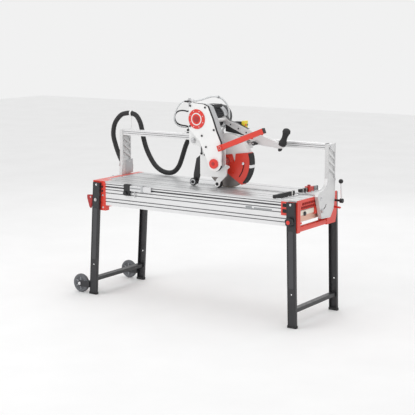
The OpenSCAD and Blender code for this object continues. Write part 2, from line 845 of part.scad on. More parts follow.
// Water valve block on top of the head plate
module water_valve() {
    color(steel) difference() {
        union() {
            y_rod(tap_x, tap_z, 13, -112, -84);
            translate([tap_x, -98, 1320]) cylinder(r = 8, h = 62);
            x_rod(-98, 1366, 7, tap_x, -70);
            x_rod(-98, 1362, 6, -124, tap_x);
            box([tap_x - 4, -98, 1312], [-84, plate_y0, 1336]);
        }
        y_rod(tap_x, tap_z, 4.3, -113, -100);
    }
}

module valve_tap() {
    color(black) {
        y_rod(tap_x, tap_z, 4, -126, -101);
        box([tap_x - 18, -132, tap_z - 4.5], [tap_x + 8, -126, tap_z + 4.5]);
    }
}

inlet_x = blade_x - 40;
water_route = [[-69.95, -98, 1366], [-63, -98, 1366], [-56, -98, 1366], [-36, -80, 1370], [-8, -50, 1382],
    [10, -20, 1390], [25, 5, 1391], [41, 28, 1386], [57, 52, 1371], [70, 70, 1349], [81, 82, 1320],
    [85, 88, 1283], [86, 86, 1246], [87, 66, 1212], [90, 36, 1192], [94, 10, 1184], [inlet_x, -1, 1178],
    [inlet_x, -2, 1170], [inlet_x, -2, 1164], [inlet_x, -2, 1158.05]];
loop_route = [[-124.05, -98, 1362], [-131, -98, 1362], [-138, -98, 1362], [-160, -91, 1356],
    [-201, -70, 1336], [-245, -40, 1305], [-290, 2, 1270], [-329, 45, 1238], [-357, 85, 1205],
    [-371, 125, 1178], [-372, 160, 1162], [-360, 190, 1153], [-342, 210, 1153], [-324, 218, 1158],
    [-312, 211, 1158], [-309, 205, 1153], [-309, 205, 1147], [-309, 205, 1141.05]];
cable_route = [[-322, 205, 1141.05], [-322, 205, 1146], [-322, 205, 1151], [-326, 202, 1157],
    [-341, 194, 1163], [-358, 175, 1167], [-369, 150, 1177], [-371, 125, 1192], [-364, 100, 1213],
    [-348, 75, 1236], [-320, 50, 1260], [-286, 30, 1277], [-248, 18, 1285], [-217, 12, 1285],
    [-190, 10, 1283], [-140, 10, 1297], [-92, 10, 1318], [-56, 10, 1326], [-45, 10, 1326],
    [-33.05, 10, 1326]];

// Clear tubing from the valve over the motor, and the feed loop
module water_hoses() {
    color(clear) {
        tube(water_route, 6, 2, 8);
        tube(loop_route, 5, 2, 8);
    }
}

module motor_cable() { color(black) tube(cable_route, 4.5, 2, 8); }

module drive_belt() {
    color(black) along_y(-134, -120) difference() {
        belt_outline(pulley_r + 3.3);
        belt_outline(pulley_r + gap);
    }
}

// Arms and axles of the two guide rollers
module roller_arms() {
    color(black) {
        along_y(-56, -48) polygon([[-79, 982], [-50, 1004], [-14, 1034], [28, 1034], [28, 1006],
            [-4, 1000], [-50, 960], [-51, 870], [-70, 812], [-102, 812], [-102, 872]]);
        for (x = [-9.5, 18]) y_rod(x, 1020, 7, plate_y1 + 0.05, -55.9);
        y_rod(left_roller_x, roller_z, 6, -88, -55.9);
        y_rod(left_roller_x, roller_z, 10, -61, -55.9);
        y_rod(left_roller_x, roller_z, 10, -90, -85);
    }
    color(white) {
        along_y(plate_y1 + 0.05, -77) polygon([[120, 900], [176, 900], [170, 880], [150, 862],
            [128, 842], [122, 818],
            [104, 806], [88, 814], [86, 836], [98, 858], [112, 872]]);
        y_rod(right_roller_x, roller_z, 6, -78, -48);
        y_rod(right_roller_x, roller_z, 10, -50, -47);
    }
}

module guide_roller(x, y0, y1) {
    difference() {
        y_rod(x, roller_z, roller_r, y0, y1);
        y_rod(x, roller_z, 6 + fit, y0 - 1, y1 + 1);
    }
}

module left_guide_roller() { color(black) guide_roller(left_roller_x, -84, -62); }

module right_guide_roller() { color(black) guide_roller(right_roller_x, -75, -51); }

guard_screw_x = 139.5;

module head_screws() {
    color(black) {
        for (p = [[41, 1148], [73, 1077], [-50, 1338], [66, 1332], [134, 1190], [-52, 1206]])
            y_rod(p[0], p[1], 6, cover_front - 5, cover_front);
        for (p = [[-9.5, 1022], [18, 1017]]) y_rod(p[0], p[1], 7, plate_y0 - 6, plate_y0);
        // pointer rod beside the cover
        translate([-9.5, plate_y0 - 4, 1028]) cylinder(r = 3, h = 76);
    }
    color(steel) {
        // guard screw with its washer
        y_rod(blade_x + guard_screw_x, blade_z - 3, 3.2, -36, -22);
        y_rod(blade_x + guard_screw_x, blade_z - 3, 8, -40, -31.2);
        for (a = [22.5 : 45 : 337.5])
            y_rod(motor_x + 54 * cos(a), motor_z + 54 * sin(a), 3.5, cover_front - 7, cover_front - 5);
    }
}

module spindle_shaft() {
    color(steel) {
        y_rod(blade_x, blade_z, 12, -160, 13);
        y_rod(blade_x, blade_z, 38, -9, -1.6);
        y_rod(blade_x, blade_z, 38, 1.6, 7);
        translate([blade_x, 13, blade_z]) rotate([90, 0, 0]) cylinder(r = 19, h = 6, $fn = 6);
        y_rod(blade_x, blade_z, 16, -159, -139);
    }
}

module driven_pulley() {
    color(grey) difference() {
        y_rod(blade_x, blade_z, pulley_r, -136, -118);
        y_rod(blade_x, blade_z, 12 + fit, -137, -117);
    }
}

module saw_blade() {
    color(steel) difference() {
        y_rod(blade_x, blade_z, blade_r, -1.4, 1.4, $fn = 180);
        y_rod(blade_x, blade_z, 12 + fit, -2, 2);
        // gullets between the rim segments
        for (a = [0 : 15 : 345]) translate([blade_x, 0, blade_z]) rotate([0, a, 0])
            box([-1.2, -3, blade_r - 12], [1.2, 3, blade_r + 1]);
    }
}

module motor_rotor() {
    color(steel) {
        y_rod(motor_x, motor_z, 12, -140, 130);
        y_rod(motor_x, motor_z, pulley_r, -136, -118);
        y_rod(motor_x, motor_z, 46, -50, 66);
        y_rod(motor_x, motor_z, 60, 108, 114);
    }
}

// ---- swinging guard ----

guard_r = 190;
guard_y0 = -30;
guard_y1 = 21;

// One hollow shell: two side plates joined by the rim, open on the other sides
module guard_shell() {
    color(signal_red) difference() {
        intersection() {
            y_rod(blade_x, blade_z, guard_r, guard_y0, guard_y1);
            along_y(guard_y0 - 1, guard_y1 + 1) translate([blade_x, blade_z])
                polygon([[-34, 42], [190, 72], [240, 76], [240, -120], [150, -162], [11, -75], [-34, -45]]);
        }
        y_rod(blade_x, blade_z, guard_r - 2.5, guard_y0 + 2, guard_y1 - 2);
        y_rod(blade_x, blade_z, 31 + gap, guard_y0 - 1, guard_y0 + 3);
        y_rod(blade_x, blade_z, 40, guard_y1 - 3, guard_y1 + 1);
        // notch in the upper edge
        along_y(guard_y0 - 1, guard_y0 + 3) translate([blade_x, blade_z])
            polygon([[47, 70], [79, 70], [77, 56], [71, 5], [66, 5], [50, 52]]);
        // arc slot round the guard screw
        y_ring(blade_x, blade_z, guard_screw_x - 4, guard_screw_x + 4, guard_y0 - 1, guard_y0 + 3, -42, 1.5);
    }
}

module guard_edge() {
    color(black) y_ring(blade_x, blade_z, guard_r + 0.05, guard_r + 4.5, guard_y0, guard_y1, -44, 20);
}

// Red lock bar hinged on the belt cover, resting on two black feet
module lock_bar() {
    translate([bar_x, 0, bar_z]) rotate([0, -bar_angle, 0]) {
        color(signal_red) difference() {
            union() {
                box([-18, -195, -17], [340, -168, 17]);
                box([-22, -197, -19], [16, -166, 19]);
            }
            y_rod(0, 0, 6 + gap, -198, -165);
            box([18, -192, -14], [341, -171, 14]);
        }
        color(black) {
            box([334, -191.95, -13.95], [340, -171.05, 13.95]);
            box([339.9, -195, -17], [346, -168, 17]);
            for (x = [243, 322]) translate([x, -182, -23]) cylinder(r = 5, h = 6);
        }
    }
}

// ---- small moving parts on the table ----

// Stop that straddles the rear length of the fence
module fence_stop() {
    fence_frame() {
        color(signal_red) difference() {
            box([-14, 122, 4.3], [20, 174, fence_h + 6]);
            box([-8 - gap, 121, 4], [8 + gap, 175, fence_h + gap]);
        }
        color(signal_red) translate([0, 148, fence_h + 5.9]) cylinder(r = 9, h = 9);
    }
}

// Side stop clamped in the tee slot of the front rail
module front_stop() {
    slot_z = rail_top - 26;
    color(black) {
        box([-528, -266, 720], [-482, -250.3, 796]);
        box([-524, -251, slot_z - 4.5], [-504, -241, slot_z + 4.5]);
        box([-534, -245.7, slot_z - 7], [-494, -239, slot_z + 7]);
        y_rod(-512, 737, 11, -280, -265);
    }
    color(steel) {
        box([-482, -262, 755], [-305, -254, 788]);
        translate([-443, -258, 711]) cylinder(r = 3.5, h = 45);
        box([-386, -265, 752], [-372, -253.5, 793]);
    }
}

module leg_lever() {
    color(signal_red) {
        along_y(-250, -238) polygon([[-816, 696], [-861, 692], [-860, 673], [-841, 611], [-832, 603],
            [-822, 640]]);
        y_rod(lug_x, lug_z, 4, -238.1, -218);
    }
}

module leg_knob() {
    color(black) {
        y_rod(pivot_x, knob_z, 26, -300, -277.5);
        y_rod(pivot_x, knob_z, 16, -306, -299);
    }
}

// Lever with a ball, leaning forward from the shaft so that the tilting upright passes behind it
module tilt_lever() {
    color(black) {
        x_rod(lever_y, lever_z, 7, end_x - 12, 856);
        x_rod(lever_y, lever_z, 14, 848, 868);
        translate([859, lever_y - 16, lever_z + 128]) sphere(r = 15);
    }
    color(steel) translate([859, lever_y, lever_z]) rotate([atan2(16, 128), 0, 0]) cylinder(r = 4.5,
        h = 128);
}

place() front_rail();
place() back_rail();
place() front_deck();
place() back_deck();
place() left_casting();
place() right_casting();
place() handle_bars();
place() water_tank();
place() water_pump();
place() fence_bars();
place() table_fasteners();
place() left_legs();
place() left_feet();
place() wheel_forks();
place() right_legs();
place() right_feet();
place() front_wheel();
place() back_wheel();
place() left_upright();
place() right_upright();
place() beam();
place() conduit_clips();
place() power_conduit();
place() carriage_truck();
place() carriage_plate();
place() spindle_bearings();
place() head_plate();
place() belt_case();
place() belt_cover();
place() cover_discs();
place() spindle_housing();
place() blade_cover();
place() motor_body();
place() fan_cover();
place() handle_arm();
place() hand_grip();
place() switch_box();
place() water_valve();
place() water_hoses();
place() motor_cable();
place() drive_belt();
place() roller_arms();
place() head_screws();
place() spindle_shaft();
place() driven_pulley();
place() saw_blade();
place() motor_rotor();
place() guard_shell();
place() guard_edge();
place() lock_bar();
place() valve_tap();
place() start_button();
place() stop_button();
place() left_guide_roller();
place() right_guide_roller();
place() fence_stop();
place() front_stop();
place() leg_lever();
place() leg_knob();
place() tilt_lever();
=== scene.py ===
import math
import bpy
import bmesh
from mathutils import Matrix, Vector


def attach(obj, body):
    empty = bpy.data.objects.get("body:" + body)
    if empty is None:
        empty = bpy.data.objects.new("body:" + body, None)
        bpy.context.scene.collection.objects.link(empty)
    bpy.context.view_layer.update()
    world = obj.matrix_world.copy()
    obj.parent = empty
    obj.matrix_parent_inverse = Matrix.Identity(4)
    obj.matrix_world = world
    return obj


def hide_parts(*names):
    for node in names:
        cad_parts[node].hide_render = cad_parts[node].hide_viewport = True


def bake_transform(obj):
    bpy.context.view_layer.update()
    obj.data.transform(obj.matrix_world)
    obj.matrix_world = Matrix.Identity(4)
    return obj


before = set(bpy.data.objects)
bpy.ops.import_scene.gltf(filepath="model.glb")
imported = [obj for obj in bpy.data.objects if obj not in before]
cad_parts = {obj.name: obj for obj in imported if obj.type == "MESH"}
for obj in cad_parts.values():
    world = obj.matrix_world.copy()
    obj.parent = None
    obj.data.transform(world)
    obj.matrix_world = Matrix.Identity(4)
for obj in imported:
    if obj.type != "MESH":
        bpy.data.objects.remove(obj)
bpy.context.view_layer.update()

# places and sizes of the table frame, in millimetres
SHIFT = Vector((53.5, -0.5, 0.0))  # from the table frame to the row frame
BLADE = (136, 972)  # blade axis: x, z
MOTOR = (1, 1254)  # motor axis
BAR = (200, 1082)  # lock bar pivot
BAR_LEAN = 21.7  # degrees of the lock bar above level
WHEEL = (-916, 65)  # wheel axis
ROLLER_Z = 827
TILT_Z = 788  # tilt axis of the bridge
UPRIGHT_FACE = 832  # outer face of each upright
COVER_FRONT = -164.5  # front face of the belt cover
FENCE_X = 655
CONDUIT_R = 17
HOSE_R = 5
WATER_HOSE_R = 6.3
FRONT = (0, -1, 0)
BACK = (0, 1, 0)
UP = (0, 0, 1)
RIGHT = (1, 0, 0)
LEFT = (-1, 0, 0)


def at(x, y, z):
    """A point of the table frame, in millimetres, as metres in the row frame."""
    return (Vector((x, y, z)) + SHIFT) / 1000


# ---------------------------------------------------------------- materials

def new_material(name):
    """New material with its node tree and shader."""
    m = bpy.data.materials.new(name)
    m.use_nodes = True
    nt = m.node_tree
    nt.nodes.clear()
    out = nt.nodes.new("ShaderNodeOutputMaterial")
    bsdf = nt.nodes.new("ShaderNodeBsdfPrincipled")
    nt.links.new(bsdf.outputs[0], out.inputs[0])
    return m, nt, bsdf


def coords(nt, scale=(1, 1, 1)):
    """Object coordinates, stretched by scale."""
    tc = nt.nodes.new("ShaderNodeTexCoord")
    mp = nt.nodes.new("ShaderNodeMapping")
    mp.inputs["Scale"].default_value = scale
    nt.links.new(tc.outputs["Object"], mp.inputs[0])
    return mp.outputs[0]


def noise(nt, vec, scale, detail=4.0, rough=0.55):
    """Noise value at a coordinate."""
    n = nt.nodes.new("ShaderNodeTexNoise")
    n.inputs["Scale"].default_value = scale
    n.inputs["Detail"].default_value = detail
    n.inputs["Roughness"].default_value = rough
    nt.links.new(vec, n.inputs["Vector"])
    return n.outputs["Fac"]


def ramp(nt, fac, stops):
    """Colour ramp through (position, colour) stops."""
    r = nt.nodes.new("ShaderNodeValToRGB")
    els = r.color_ramp.elements
    els[0].position, els[0].color = stops[0][0], (*stops[0][1], 1)
    els[1].position, els[1].color = stops[-1][0], (*stops[-1][1], 1)
    for p, c in stops[1:-1]:
        e = els.new(p)
        e.color = (*c, 1)
    nt.links.new(fac, r.inputs[0])
    return r.outputs[0]


def span(nt, fac, lo, hi, a=0.3, b=0.7):
    """Value between lo and hi as fac goes from a to b."""
    m = nt.nodes.new("ShaderNodeMapRange")
    m.inputs["From Min"].default_value = a
    m.inputs["From Max"].default_value = b
    m.inputs["To Min"].default_value = lo
    m.inputs["To Max"].default_value = hi
    nt.links.new(fac, m.inputs["Value"])
    return m.outputs[0]


def math_node(nt, op, a, b=None):
    """Sum, product or other operation of two values or sockets."""
    m = nt.nodes.new("ShaderNodeMath")
    m.operation = op
    for i, v in enumerate((a, b)):
        if v is None:
            continue
        if isinstance(v, (int, float)):
            m.inputs[i].default_value = v
        else:
            nt.links.new(v, m.inputs[i])
    return m.outputs[0]


def bump(nt, bsdf, height, strength, distance, edge=0.0):
    """Surface relief, with rounded edges where edge is given."""
    b = nt.nodes.new("ShaderNodeBump")
    b.inputs["Strength"].default_value = strength
    b.inputs["Distance"].default_value = distance
    nt.links.new(height, b.inputs["Height"])
    if edge:
        bv = nt.nodes.new("ShaderNodeBevel")
        bv.samples = 4
        bv.inputs["Radius"].default_value = edge
        nt.links.new(bv.outputs[0], b.inputs["Normal"])
    nt.links.new(b.outputs[0], bsdf.inputs["Normal"])


def shade(c, k):
    """Colour made lighter or darker."""
    return tuple(max(0.0, min(1.0, v * k)) for v in c)


def painted(name, colour, rough=0.38, vary=0.06, peel=0.25, metal=0.0, coat=0.0, edge=0.0012,
            grain=900.0, flake=0.0):
    """Powder coat or moulded plastic: mottled colour, uneven gloss and a fine orange peel."""
    m, nt, bsdf = new_material(name)
    v = coords(nt)
    big = noise(nt, v, 9.0, 5.0)
    fine = noise(nt, v, grain, 2.0)
    nt.links.new(ramp(nt, big, [(0.3, shade(colour, 1 - vary)), (0.5, colour),
                                (0.72, shade(colour, 1 + vary * 0.7))]), bsdf.inputs["Base Color"])
    if flake:
        vo = nt.nodes.new("ShaderNodeTexVoronoi")
        vo.inputs["Scale"].default_value = 1500.0
        nt.links.new(v, vo.inputs["Vector"])
        mix = nt.nodes.new("ShaderNodeMix")
        mix.data_type = "RGBA"
        mix.inputs[0].default_value = flake
        nt.links.new(ramp(nt, big, [(0.3, shade(colour, 1 - vary)), (0.7, colour)]), mix.inputs[6])
        nt.links.new(vo.outputs["Color"], mix.inputs[7])
        hs = nt.nodes.new("ShaderNodeHueSaturation")
        hs.inputs["Saturation"].default_value = 0.0
        nt.links.new(mix.outputs[2], hs.inputs["Color"])
        nt.links.new(hs.outputs[0], bsdf.inputs["Base Color"])
    nt.links.new(span(nt, noise(nt, v, 26.0, 6.0), rough - 0.07, rough + 0.09), bsdf.inputs["Roughness"])
    bsdf.inputs["Metallic"].default_value = metal
    bsdf.inputs["Coat Weight"].default_value = coat
    bsdf.inputs["Coat Roughness"].default_value = 0.15
    bump(nt, bsdf, fine, peel, 0.0004, edge)
    return m


def brushed(name, colour, rough=0.3, along=(6, 260, 260), metal=1.0, vary=0.05, depth=0.12, edge=0.001):
    """Drawn, brushed or ground metal with its grain along one direction."""
    m, nt, bsdf = new_material(name)
    line = noise(nt, coords(nt, along), 6.0, 6.0, 0.7)
    cloud = noise(nt, coords(nt), 12.0, 5.0)
    both = math_node(nt, "ADD", math_node(nt, "MULTIPLY", line, 0.6), math_node(nt, "MULTIPLY", cloud, 0.4))
    nt.links.new(ramp(nt, both, [(0.3, shade(colour, 1 - vary)), (0.5, colour),
                                 (0.7, shade(colour, 1 + vary))]), bsdf.inputs["Base Color"])
    nt.links.new(span(nt, both, rough - 0.06, rough + 0.12), bsdf.inputs["Roughness"])
    bsdf.inputs["Metallic"].default_value = metal
    bump(nt, bsdf, line, depth, 0.0003, edge)
    return m


def disc_metal(name, centre, colour, rough=0.3):
    """Ground steel disc: rings round the blade axis and a faint cloud."""
    m, nt, bsdf = new_material(name)
    tc = nt.nodes.new("ShaderNodeTexCoord")
    sub = nt.nodes.new("ShaderNodeVectorMath")
    sub.operation = "SUBTRACT"
    sub.inputs[1].default_value = centre
    nt.links.new(tc.outputs["Object"], sub.inputs[0])
    sep = nt.nodes.new("ShaderNodeSeparateXYZ")
    nt.links.new(sub.outputs[0], sep.inputs[0])
    com = nt.nodes.new("ShaderNodeCombineXYZ")
    nt.links.new(sep.outputs[0], com.inputs[0])
    nt.links.new(sep.outputs[2], com.inputs[1])
    ln = nt.nodes.new("ShaderNodeVectorMath")
    ln.operation = "LENGTH"
    nt.links.new(com.outputs[0], ln.inputs[0])
    radius = ln.outputs["Value"]
    vec = nt.nodes.new("ShaderNodeCombineXYZ")
    nt.links.new(math_node(nt, "MULTIPLY", radius, 900.0), vec.inputs[0])
    rings = noise(nt, vec.outputs[0], 1.0, 3.0)
    cloud = noise(nt, coords(nt), 30.0, 5.0)
    both = math_node(nt, "ADD", math_node(nt, "MULTIPLY", rings, 0.7),
                     math_node(nt, "MULTIPLY", cloud, 0.3))
    nt.links.new(ramp(nt, both, [(0.3, shade(colour, 0.8)), (0.6, colour), (0.8, shade(colour, 1.15))]),
                 bsdf.inputs["Base Color"])
    nt.links.new(span(nt, both, rough - 0.05, rough + 0.12), bsdf.inputs["Roughness"])
    bsdf.inputs["Metallic"].default_value = 1.0
    bump(nt, bsdf, rings, 0.15, 0.0003)
    return m


def rubber(name, colour, rough=0.62, speck=0.2, ribs=0.0, scale=700.0):
    """Rubber or rough grit with specks and a fine grain."""
    m, nt, bsdf = new_material(name)
    v = coords(nt)
    n1 = noise(nt, v, 18.0, 6.0)
    n2 = noise(nt, v, scale, 3.0)
    nt.links.new(ramp(nt, n1, [(0.3, shade(colour, 1 - speck)), (0.5, colour),
                               (0.75, shade(colour, 1 + 2.5 * speck))]), bsdf.inputs["Base Color"])
    nt.links.new(span(nt, n1, rough - 0.08, rough + 0.12), bsdf.inputs["Roughness"])
    bump(nt, bsdf, n2, 0.35 + ribs, 0.0005)
    return m


def clear_plastic(name, colour):
    """Pale milky tube wall."""
    m, nt, bsdf = new_material(name)
    v = coords(nt)
    n = noise(nt, v, 40.0, 3.0)
    nt.links.new(ramp(nt, n, [(0.3, shade(colour, 0.94)), (0.7, colour)]), bsdf.inputs["Base Color"])
    nt.links.new(span(nt, n, 0.08, 0.2), bsdf.inputs["Roughness"])
    bsdf.inputs["Transmission Weight"].default_value = 0.2
    bsdf.inputs["IOR"].default_value = 1.35
    bump(nt, bsdf, n, 0.1, 0.0005)
    return m


M = {}
M["anodised"] = brushed("rail_aluminium", (0.80, 0.80, 0.805), 0.42, (5, 300, 300), 0.55, 0.05, 0.10)
M["deck"] = brushed("deck_aluminium", (0.62, 0.625, 0.63), 0.40, (5, 420, 300), 0.6, 0.07, 0.18)
M["cast_silver"] = painted("silver_coat", (0.70, 0.71, 0.72), 0.42, 0.05, 0.4, 0.35, 0.0, 0.0015, 700, 0.10)
M["case_grey"] = painted("grey_coat", (0.50, 0.51, 0.52), 0.40, 0.05, 0.3, 0.3)
M["white"] = painted("white_coat", (0.86, 0.86, 0.855), 0.33, 0.03, 0.2, 0.0, 0.2)
M["red_coat"] = painted("red_coat", (0.72, 0.045, 0.025), 0.34, 0.07, 0.25, 0.0, 0.25)
M["red_plastic"] = painted("red_plastic", (0.74, 0.035, 0.022), 0.3, 0.06, 0.15, 0.0, 0.3, 0.0008, 500)
M["dark_red"] = painted("dark_red_plastic", (0.42, 0.03, 0.03), 0.4, 0.08, 0.2, 0.0, 0.0, 0.0006, 500)
M["leg_black"] = painted("satin_black", (0.022, 0.022, 0.025), 0.42, 0.15, 0.3, 0.0, 0.1)
M["stainless"] = brushed("stainless", (0.74, 0.70, 0.66), 0.26, (8, 200, 200), 1.0, 0.06, 0.12)
M["steel"] = brushed("steel", (0.62, 0.62, 0.63), 0.28, (200, 8, 200), 1.0, 0.08, 0.12, 0.0006)
M["bright"] = brushed("bright_steel", (0.80, 0.80, 0.81), 0.18, (200, 200, 30), 1.0, 0.05, 0.08, 0.0006)
M["black"] = painted("black_plastic", (0.018, 0.018, 0.02), 0.42, 0.2, 0.4, 0.0, 0.0, 0.0008, 600)
M["fence"] = brushed("fence_black", (0.028, 0.028, 0.03), 0.38, (300, 6, 300), 0.4, 0.15, 0.1)
M["rubber"] = rubber("black_rubber", (0.016, 0.016, 0.017))
M["tyre"] = rubber("grey_tyre", (0.12, 0.125, 0.135), 0.6, 0.12)
M["wheel_hub"] = painted("wheel_hub", (0.30, 0.31, 0.33), 0.4, 0.08, 0.4)
M["motor"] = painted("motor_black", (0.035, 0.036, 0.04), 0.45, 0.15, 0.6, 0.2, 0.0, 0.001, 450)
M["bell"] = painted("motor_bell", (0.56, 0.57, 0.58), 0.42, 0.06, 0.5, 0.5, 0.0, 0.001, 450)
M["yellow"] = painted("yellow_plastic", (0.86, 0.70, 0.04), 0.35, 0.05, 0.2, 0.0, 0.1)
M["green"] = painted("green_plastic", (0.03, 0.32, 0.07), 0.3, 0.05, 0.15)
M["clear"] = clear_plastic("clear_tube", (0.86, 0.88, 0.89))
M["blade"] = disc_metal("blade_steel", at(BLADE[0], 0, BLADE[1]), (0.30, 0.275, 0.265), 0.46)
M["rim"] = rubber("diamond_rim", (0.20, 0.17, 0.13), 0.55, 0.35, 0.4, 2500.0)
M["cream"] = painted("cream_plastic", (0.80, 0.76, 0.66), 0.4, 0.05, 0.2)
M["label"] = painted("label_white", (0.82, 0.82, 0.80), 0.25, 0.03, 0.05, 0.0, 0.3, 0.0003)
M["silver_label"] = painted("label_grey", (0.35, 0.36, 0.37), 0.3, 0.05, 0.1, 0.3, 0.0, 0.0003)
# near-black painted shade for gaps, seams, slots and holes
M["gap_shade"] = painted("painted_gap_shade", (0.012, 0.012, 0.013), 0.6, 0.2, 0.2, 0.0, 0.0, 0.0)

M["groove"] = brushed("groove_shadow", (0.16, 0.16, 0.17), 0.5, (5, 300, 300), 0.5, 0.1, 0.1)
# stainless tinted by a painted red reflection
M["red_reflection"] = brushed("stainless_red_reflection", (0.78, 0.48, 0.38), 0.3, (8, 200, 200), 0.9, 0.08, 0.12)
# dark red painted shade for the floors of the honeycomb pockets
M["pocket_shade"] = painted("pocket_red_shade", (0.22, 0.015, 0.012), 0.5, 0.12, 0.3)
# lighter black for a painted sheen down the middle of the front legs
M["leg_sheen_panel"] = painted("leg_sheen_panel", (0.05, 0.05, 0.055), 0.36, 0.1, 0.1, 0.0, 0.1, 0.0004)

LOOK = {
    "front_rail": "anodised", "back_rail": "anodised", "front_deck": "deck", "back_deck": "deck",
    "left_casting": "red_coat", "right_casting": "red_coat", "handle_bars": "red_coat",
    "water_tank": "stainless", "water_pump": "black", "fence_bars": "fence",
    "table_fasteners": "steel", "left_legs": "leg_black", "left_feet": "rubber",
    "wheel_forks": "leg_black", "right_legs": "leg_black", "right_feet": "rubber",
    "front_wheel": "tyre", "back_wheel": "tyre", "left_upright": "cast_silver",
    "right_upright": "cast_silver", "beam": "anodised", "conduit_clips": "black",
    "power_conduit": "rubber", "carriage_truck": "cast_silver", "carriage_plate": "white",
    "spindle_bearings": "steel", "head_plate": "white", "belt_case": "case_grey",
    "belt_cover": "white", "cover_discs": "red_plastic", "spindle_housing": "steel",
    "blade_cover": "white", "motor_body": "motor", "fan_cover": "black",
    "handle_arm": "cast_silver", "hand_grip": "rubber", "switch_box": "yellow",
    "water_valve": "steel", "water_hoses": "clear", "motor_cable": "rubber",
    "drive_belt": "rubber", "roller_arms": "white", "head_screws": "black",
    "spindle_shaft": "steel", "driven_pulley": "steel", "saw_blade": "blade",
    "motor_rotor": "steel", "guard_shell": "red_coat", "guard_edge": "rubber",
    "lock_bar": "red_coat", "valve_tap": "black", "start_button": "green",
    "stop_button": "red_plastic", "left_guide_roller": "black",
    "right_guide_roller": "black", "fence_stop": "red_plastic", "front_stop": "steel",
    "leg_lever": "red_plastic", "leg_knob": "black", "tilt_lever": "black",
}


def node_object(name):
    """Object of a CAD node."""
    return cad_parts[name]


for node, look in LOOK.items():
    o = node_object(node)
    o.data.materials.clear()
    o.data.materials.append(M[look])


def paint(node, look, test):
    """Gives the faces of a CAD node whose centre passes test (table frame, mm) another finish or a painted
    shade.
    """
    o = node_object(node)
    me = o.data
    me.materials.append(M[look])
    k = len(me.materials) - 1
    mw = o.matrix_world
    rot = mw.to_3x3().normalized()
    for f in me.polygons:
        c = (mw @ f.center) * 1000 - SHIFT
        if test(c, rot @ f.normal):
            f.material_index = k


# ---------------------------------------------------------------- mesh helpers

def new_object(name, bm, look, body, smooth=None, bevel=0.0, segments=2):
    """Piece from a mesh, with its finish, rounded edges and body."""
    me = bpy.data.meshes.new(name)
    bmesh.ops.recalc_face_normals(bm, faces=bm.faces)
    bm.to_mesh(me)
    bm.free()
    o = bpy.data.objects.new(name, me)
    bpy.context.scene.collection.objects.link(o)
    me.materials.append(M[look])
    if bevel:
        mod = o.modifiers.new("bevel", "BEVEL")
        mod.width = bevel / 1000
        mod.segments = segments
        mod.limit_method = "ANGLE"
        mod.angle_limit = math.radians(30)
        mod.harden_normals = True
    if smooth is not None:
        for f in me.polygons:
            f.use_smooth = True
        me.set_sharp_from_angle(angle=math.radians(smooth))
    if body:
        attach(o, body)
    return o


AXES = {"x": (1, 2, 0), "y": (0, 2, 1), "z": (0, 1, 2)}


def prism(name, points, axis, a, b, look, body, bevel=0.8, smooth=35, turn=None):
    """Outline extruded along an axis of the table frame, with rounded edges."""
    i, j, k = AXES[axis]
    bm = bmesh.new()
    rings = []
    for depth in (a, b):
        ring = []
        for p in points:
            co = [0.0, 0.0, 0.0]
            co[i], co[j], co[k] = p[0], p[1], depth
            co = Vector(co)
            if turn:
                co = turn @ co
            ring.append(bm.verts.new(at(*co)))
        rings.append(ring)
    n = len(points)
    bm.faces.new(rings[0])
    bm.faces.new(list(reversed(rings[1])))
    for m in range(n):
        bm.faces.new((rings[0][m], rings[1][m], rings[1][(m + 1) % n], rings[0][(m + 1) % n]))
    return new_object(name, bm, look, body, smooth, bevel)


def slab(name, low, high, look, body, bevel=0.8, turn=None):
    """Rounded block between two corners."""
    pts = [(low[0], low[2]), (high[0], low[2]), (high[0], high[2]), (low[0], high[2])]
    return prism(name, pts, "y", low[1], high[1], look, body, bevel, 35, turn)


def frame_of(direction):
    """Two directions across a direction, and the direction itself."""
    w = Vector(direction).normalized()
    u = w.cross(Vector((0.31, 0.17, 0.93) if abs(w.z) < 0.9 else (1, 0, 0))).normalized()
    return u, w.cross(u), w


def lathe(name, profile, centre, direction, look, body, segs=48, smooth=35, wave=None):
    """Profile of (radius, height) turned about a direction through centre; wave(a, h)
    scales the radius at angle a and height h."""
    u, v, w = frame_of(direction)
    c = Vector(centre)
    bm = bmesh.new()
    rings = []
    for r, h in profile:
        if r < 1e-6:
            rings.append([bm.verts.new(at(*(c + w * h)))])
            continue
        ring = []
        for s in range(segs):
            a = 2 * math.pi * s / segs
            k = wave(a, h) if wave else 1.0
            ring.append(bm.verts.new(at(*(c + (u * math.cos(a) + v * math.sin(a)) * r * k + w * h))))
        rings.append(ring)
    for p, q in zip(rings, rings[1:]):
        for s in range(segs):
            t = (s + 1) % segs
            if len(p) == 1 and len(q) == 1:
                continue
            if len(p) == 1:
                bm.faces.new((p[0], q[s], q[t]))
            elif len(q) == 1:
                bm.faces.new((p[s], p[t], q[0]))
            else:
                bm.faces.new((p[s], p[t], q[t], q[s]))
    return new_object(name, bm, look, body, smooth)


def ring_arc(name, centre, r0, r1, y0, y1, a0, a1, look, body, steps=48, bevel=0.5):
    """Flat ring sector about an axis along Y."""
    closed = abs(a1 - a0) >= 359.9
    count = steps if closed else steps + 1
    bm = bmesh.new()
    rows = []
    for s in range(count):
        a = math.radians(a0 + (a1 - a0) * s / steps)
        ca, sa = math.cos(a), math.sin(a)
        rows.append([bm.verts.new(at(centre[0] + r * ca, y, centre[1] + r * sa))
                     for r, y in ((r0, y0), (r1, y0), (r1, y1), (r0, y1))])
    for s in range(count if closed else count - 1):
        p, q = rows[s], rows[(s + 1) % count]
        for m in range(4):
            t = (m + 1) % 4
            bm.faces.new((p[m], p[t], q[t], q[m]))
    if not closed:
        bm.faces.new(rows[0])
        bm.faces.new(list(reversed(rows[-1])))
    return new_object(name, bm, look, body, 35, bevel)


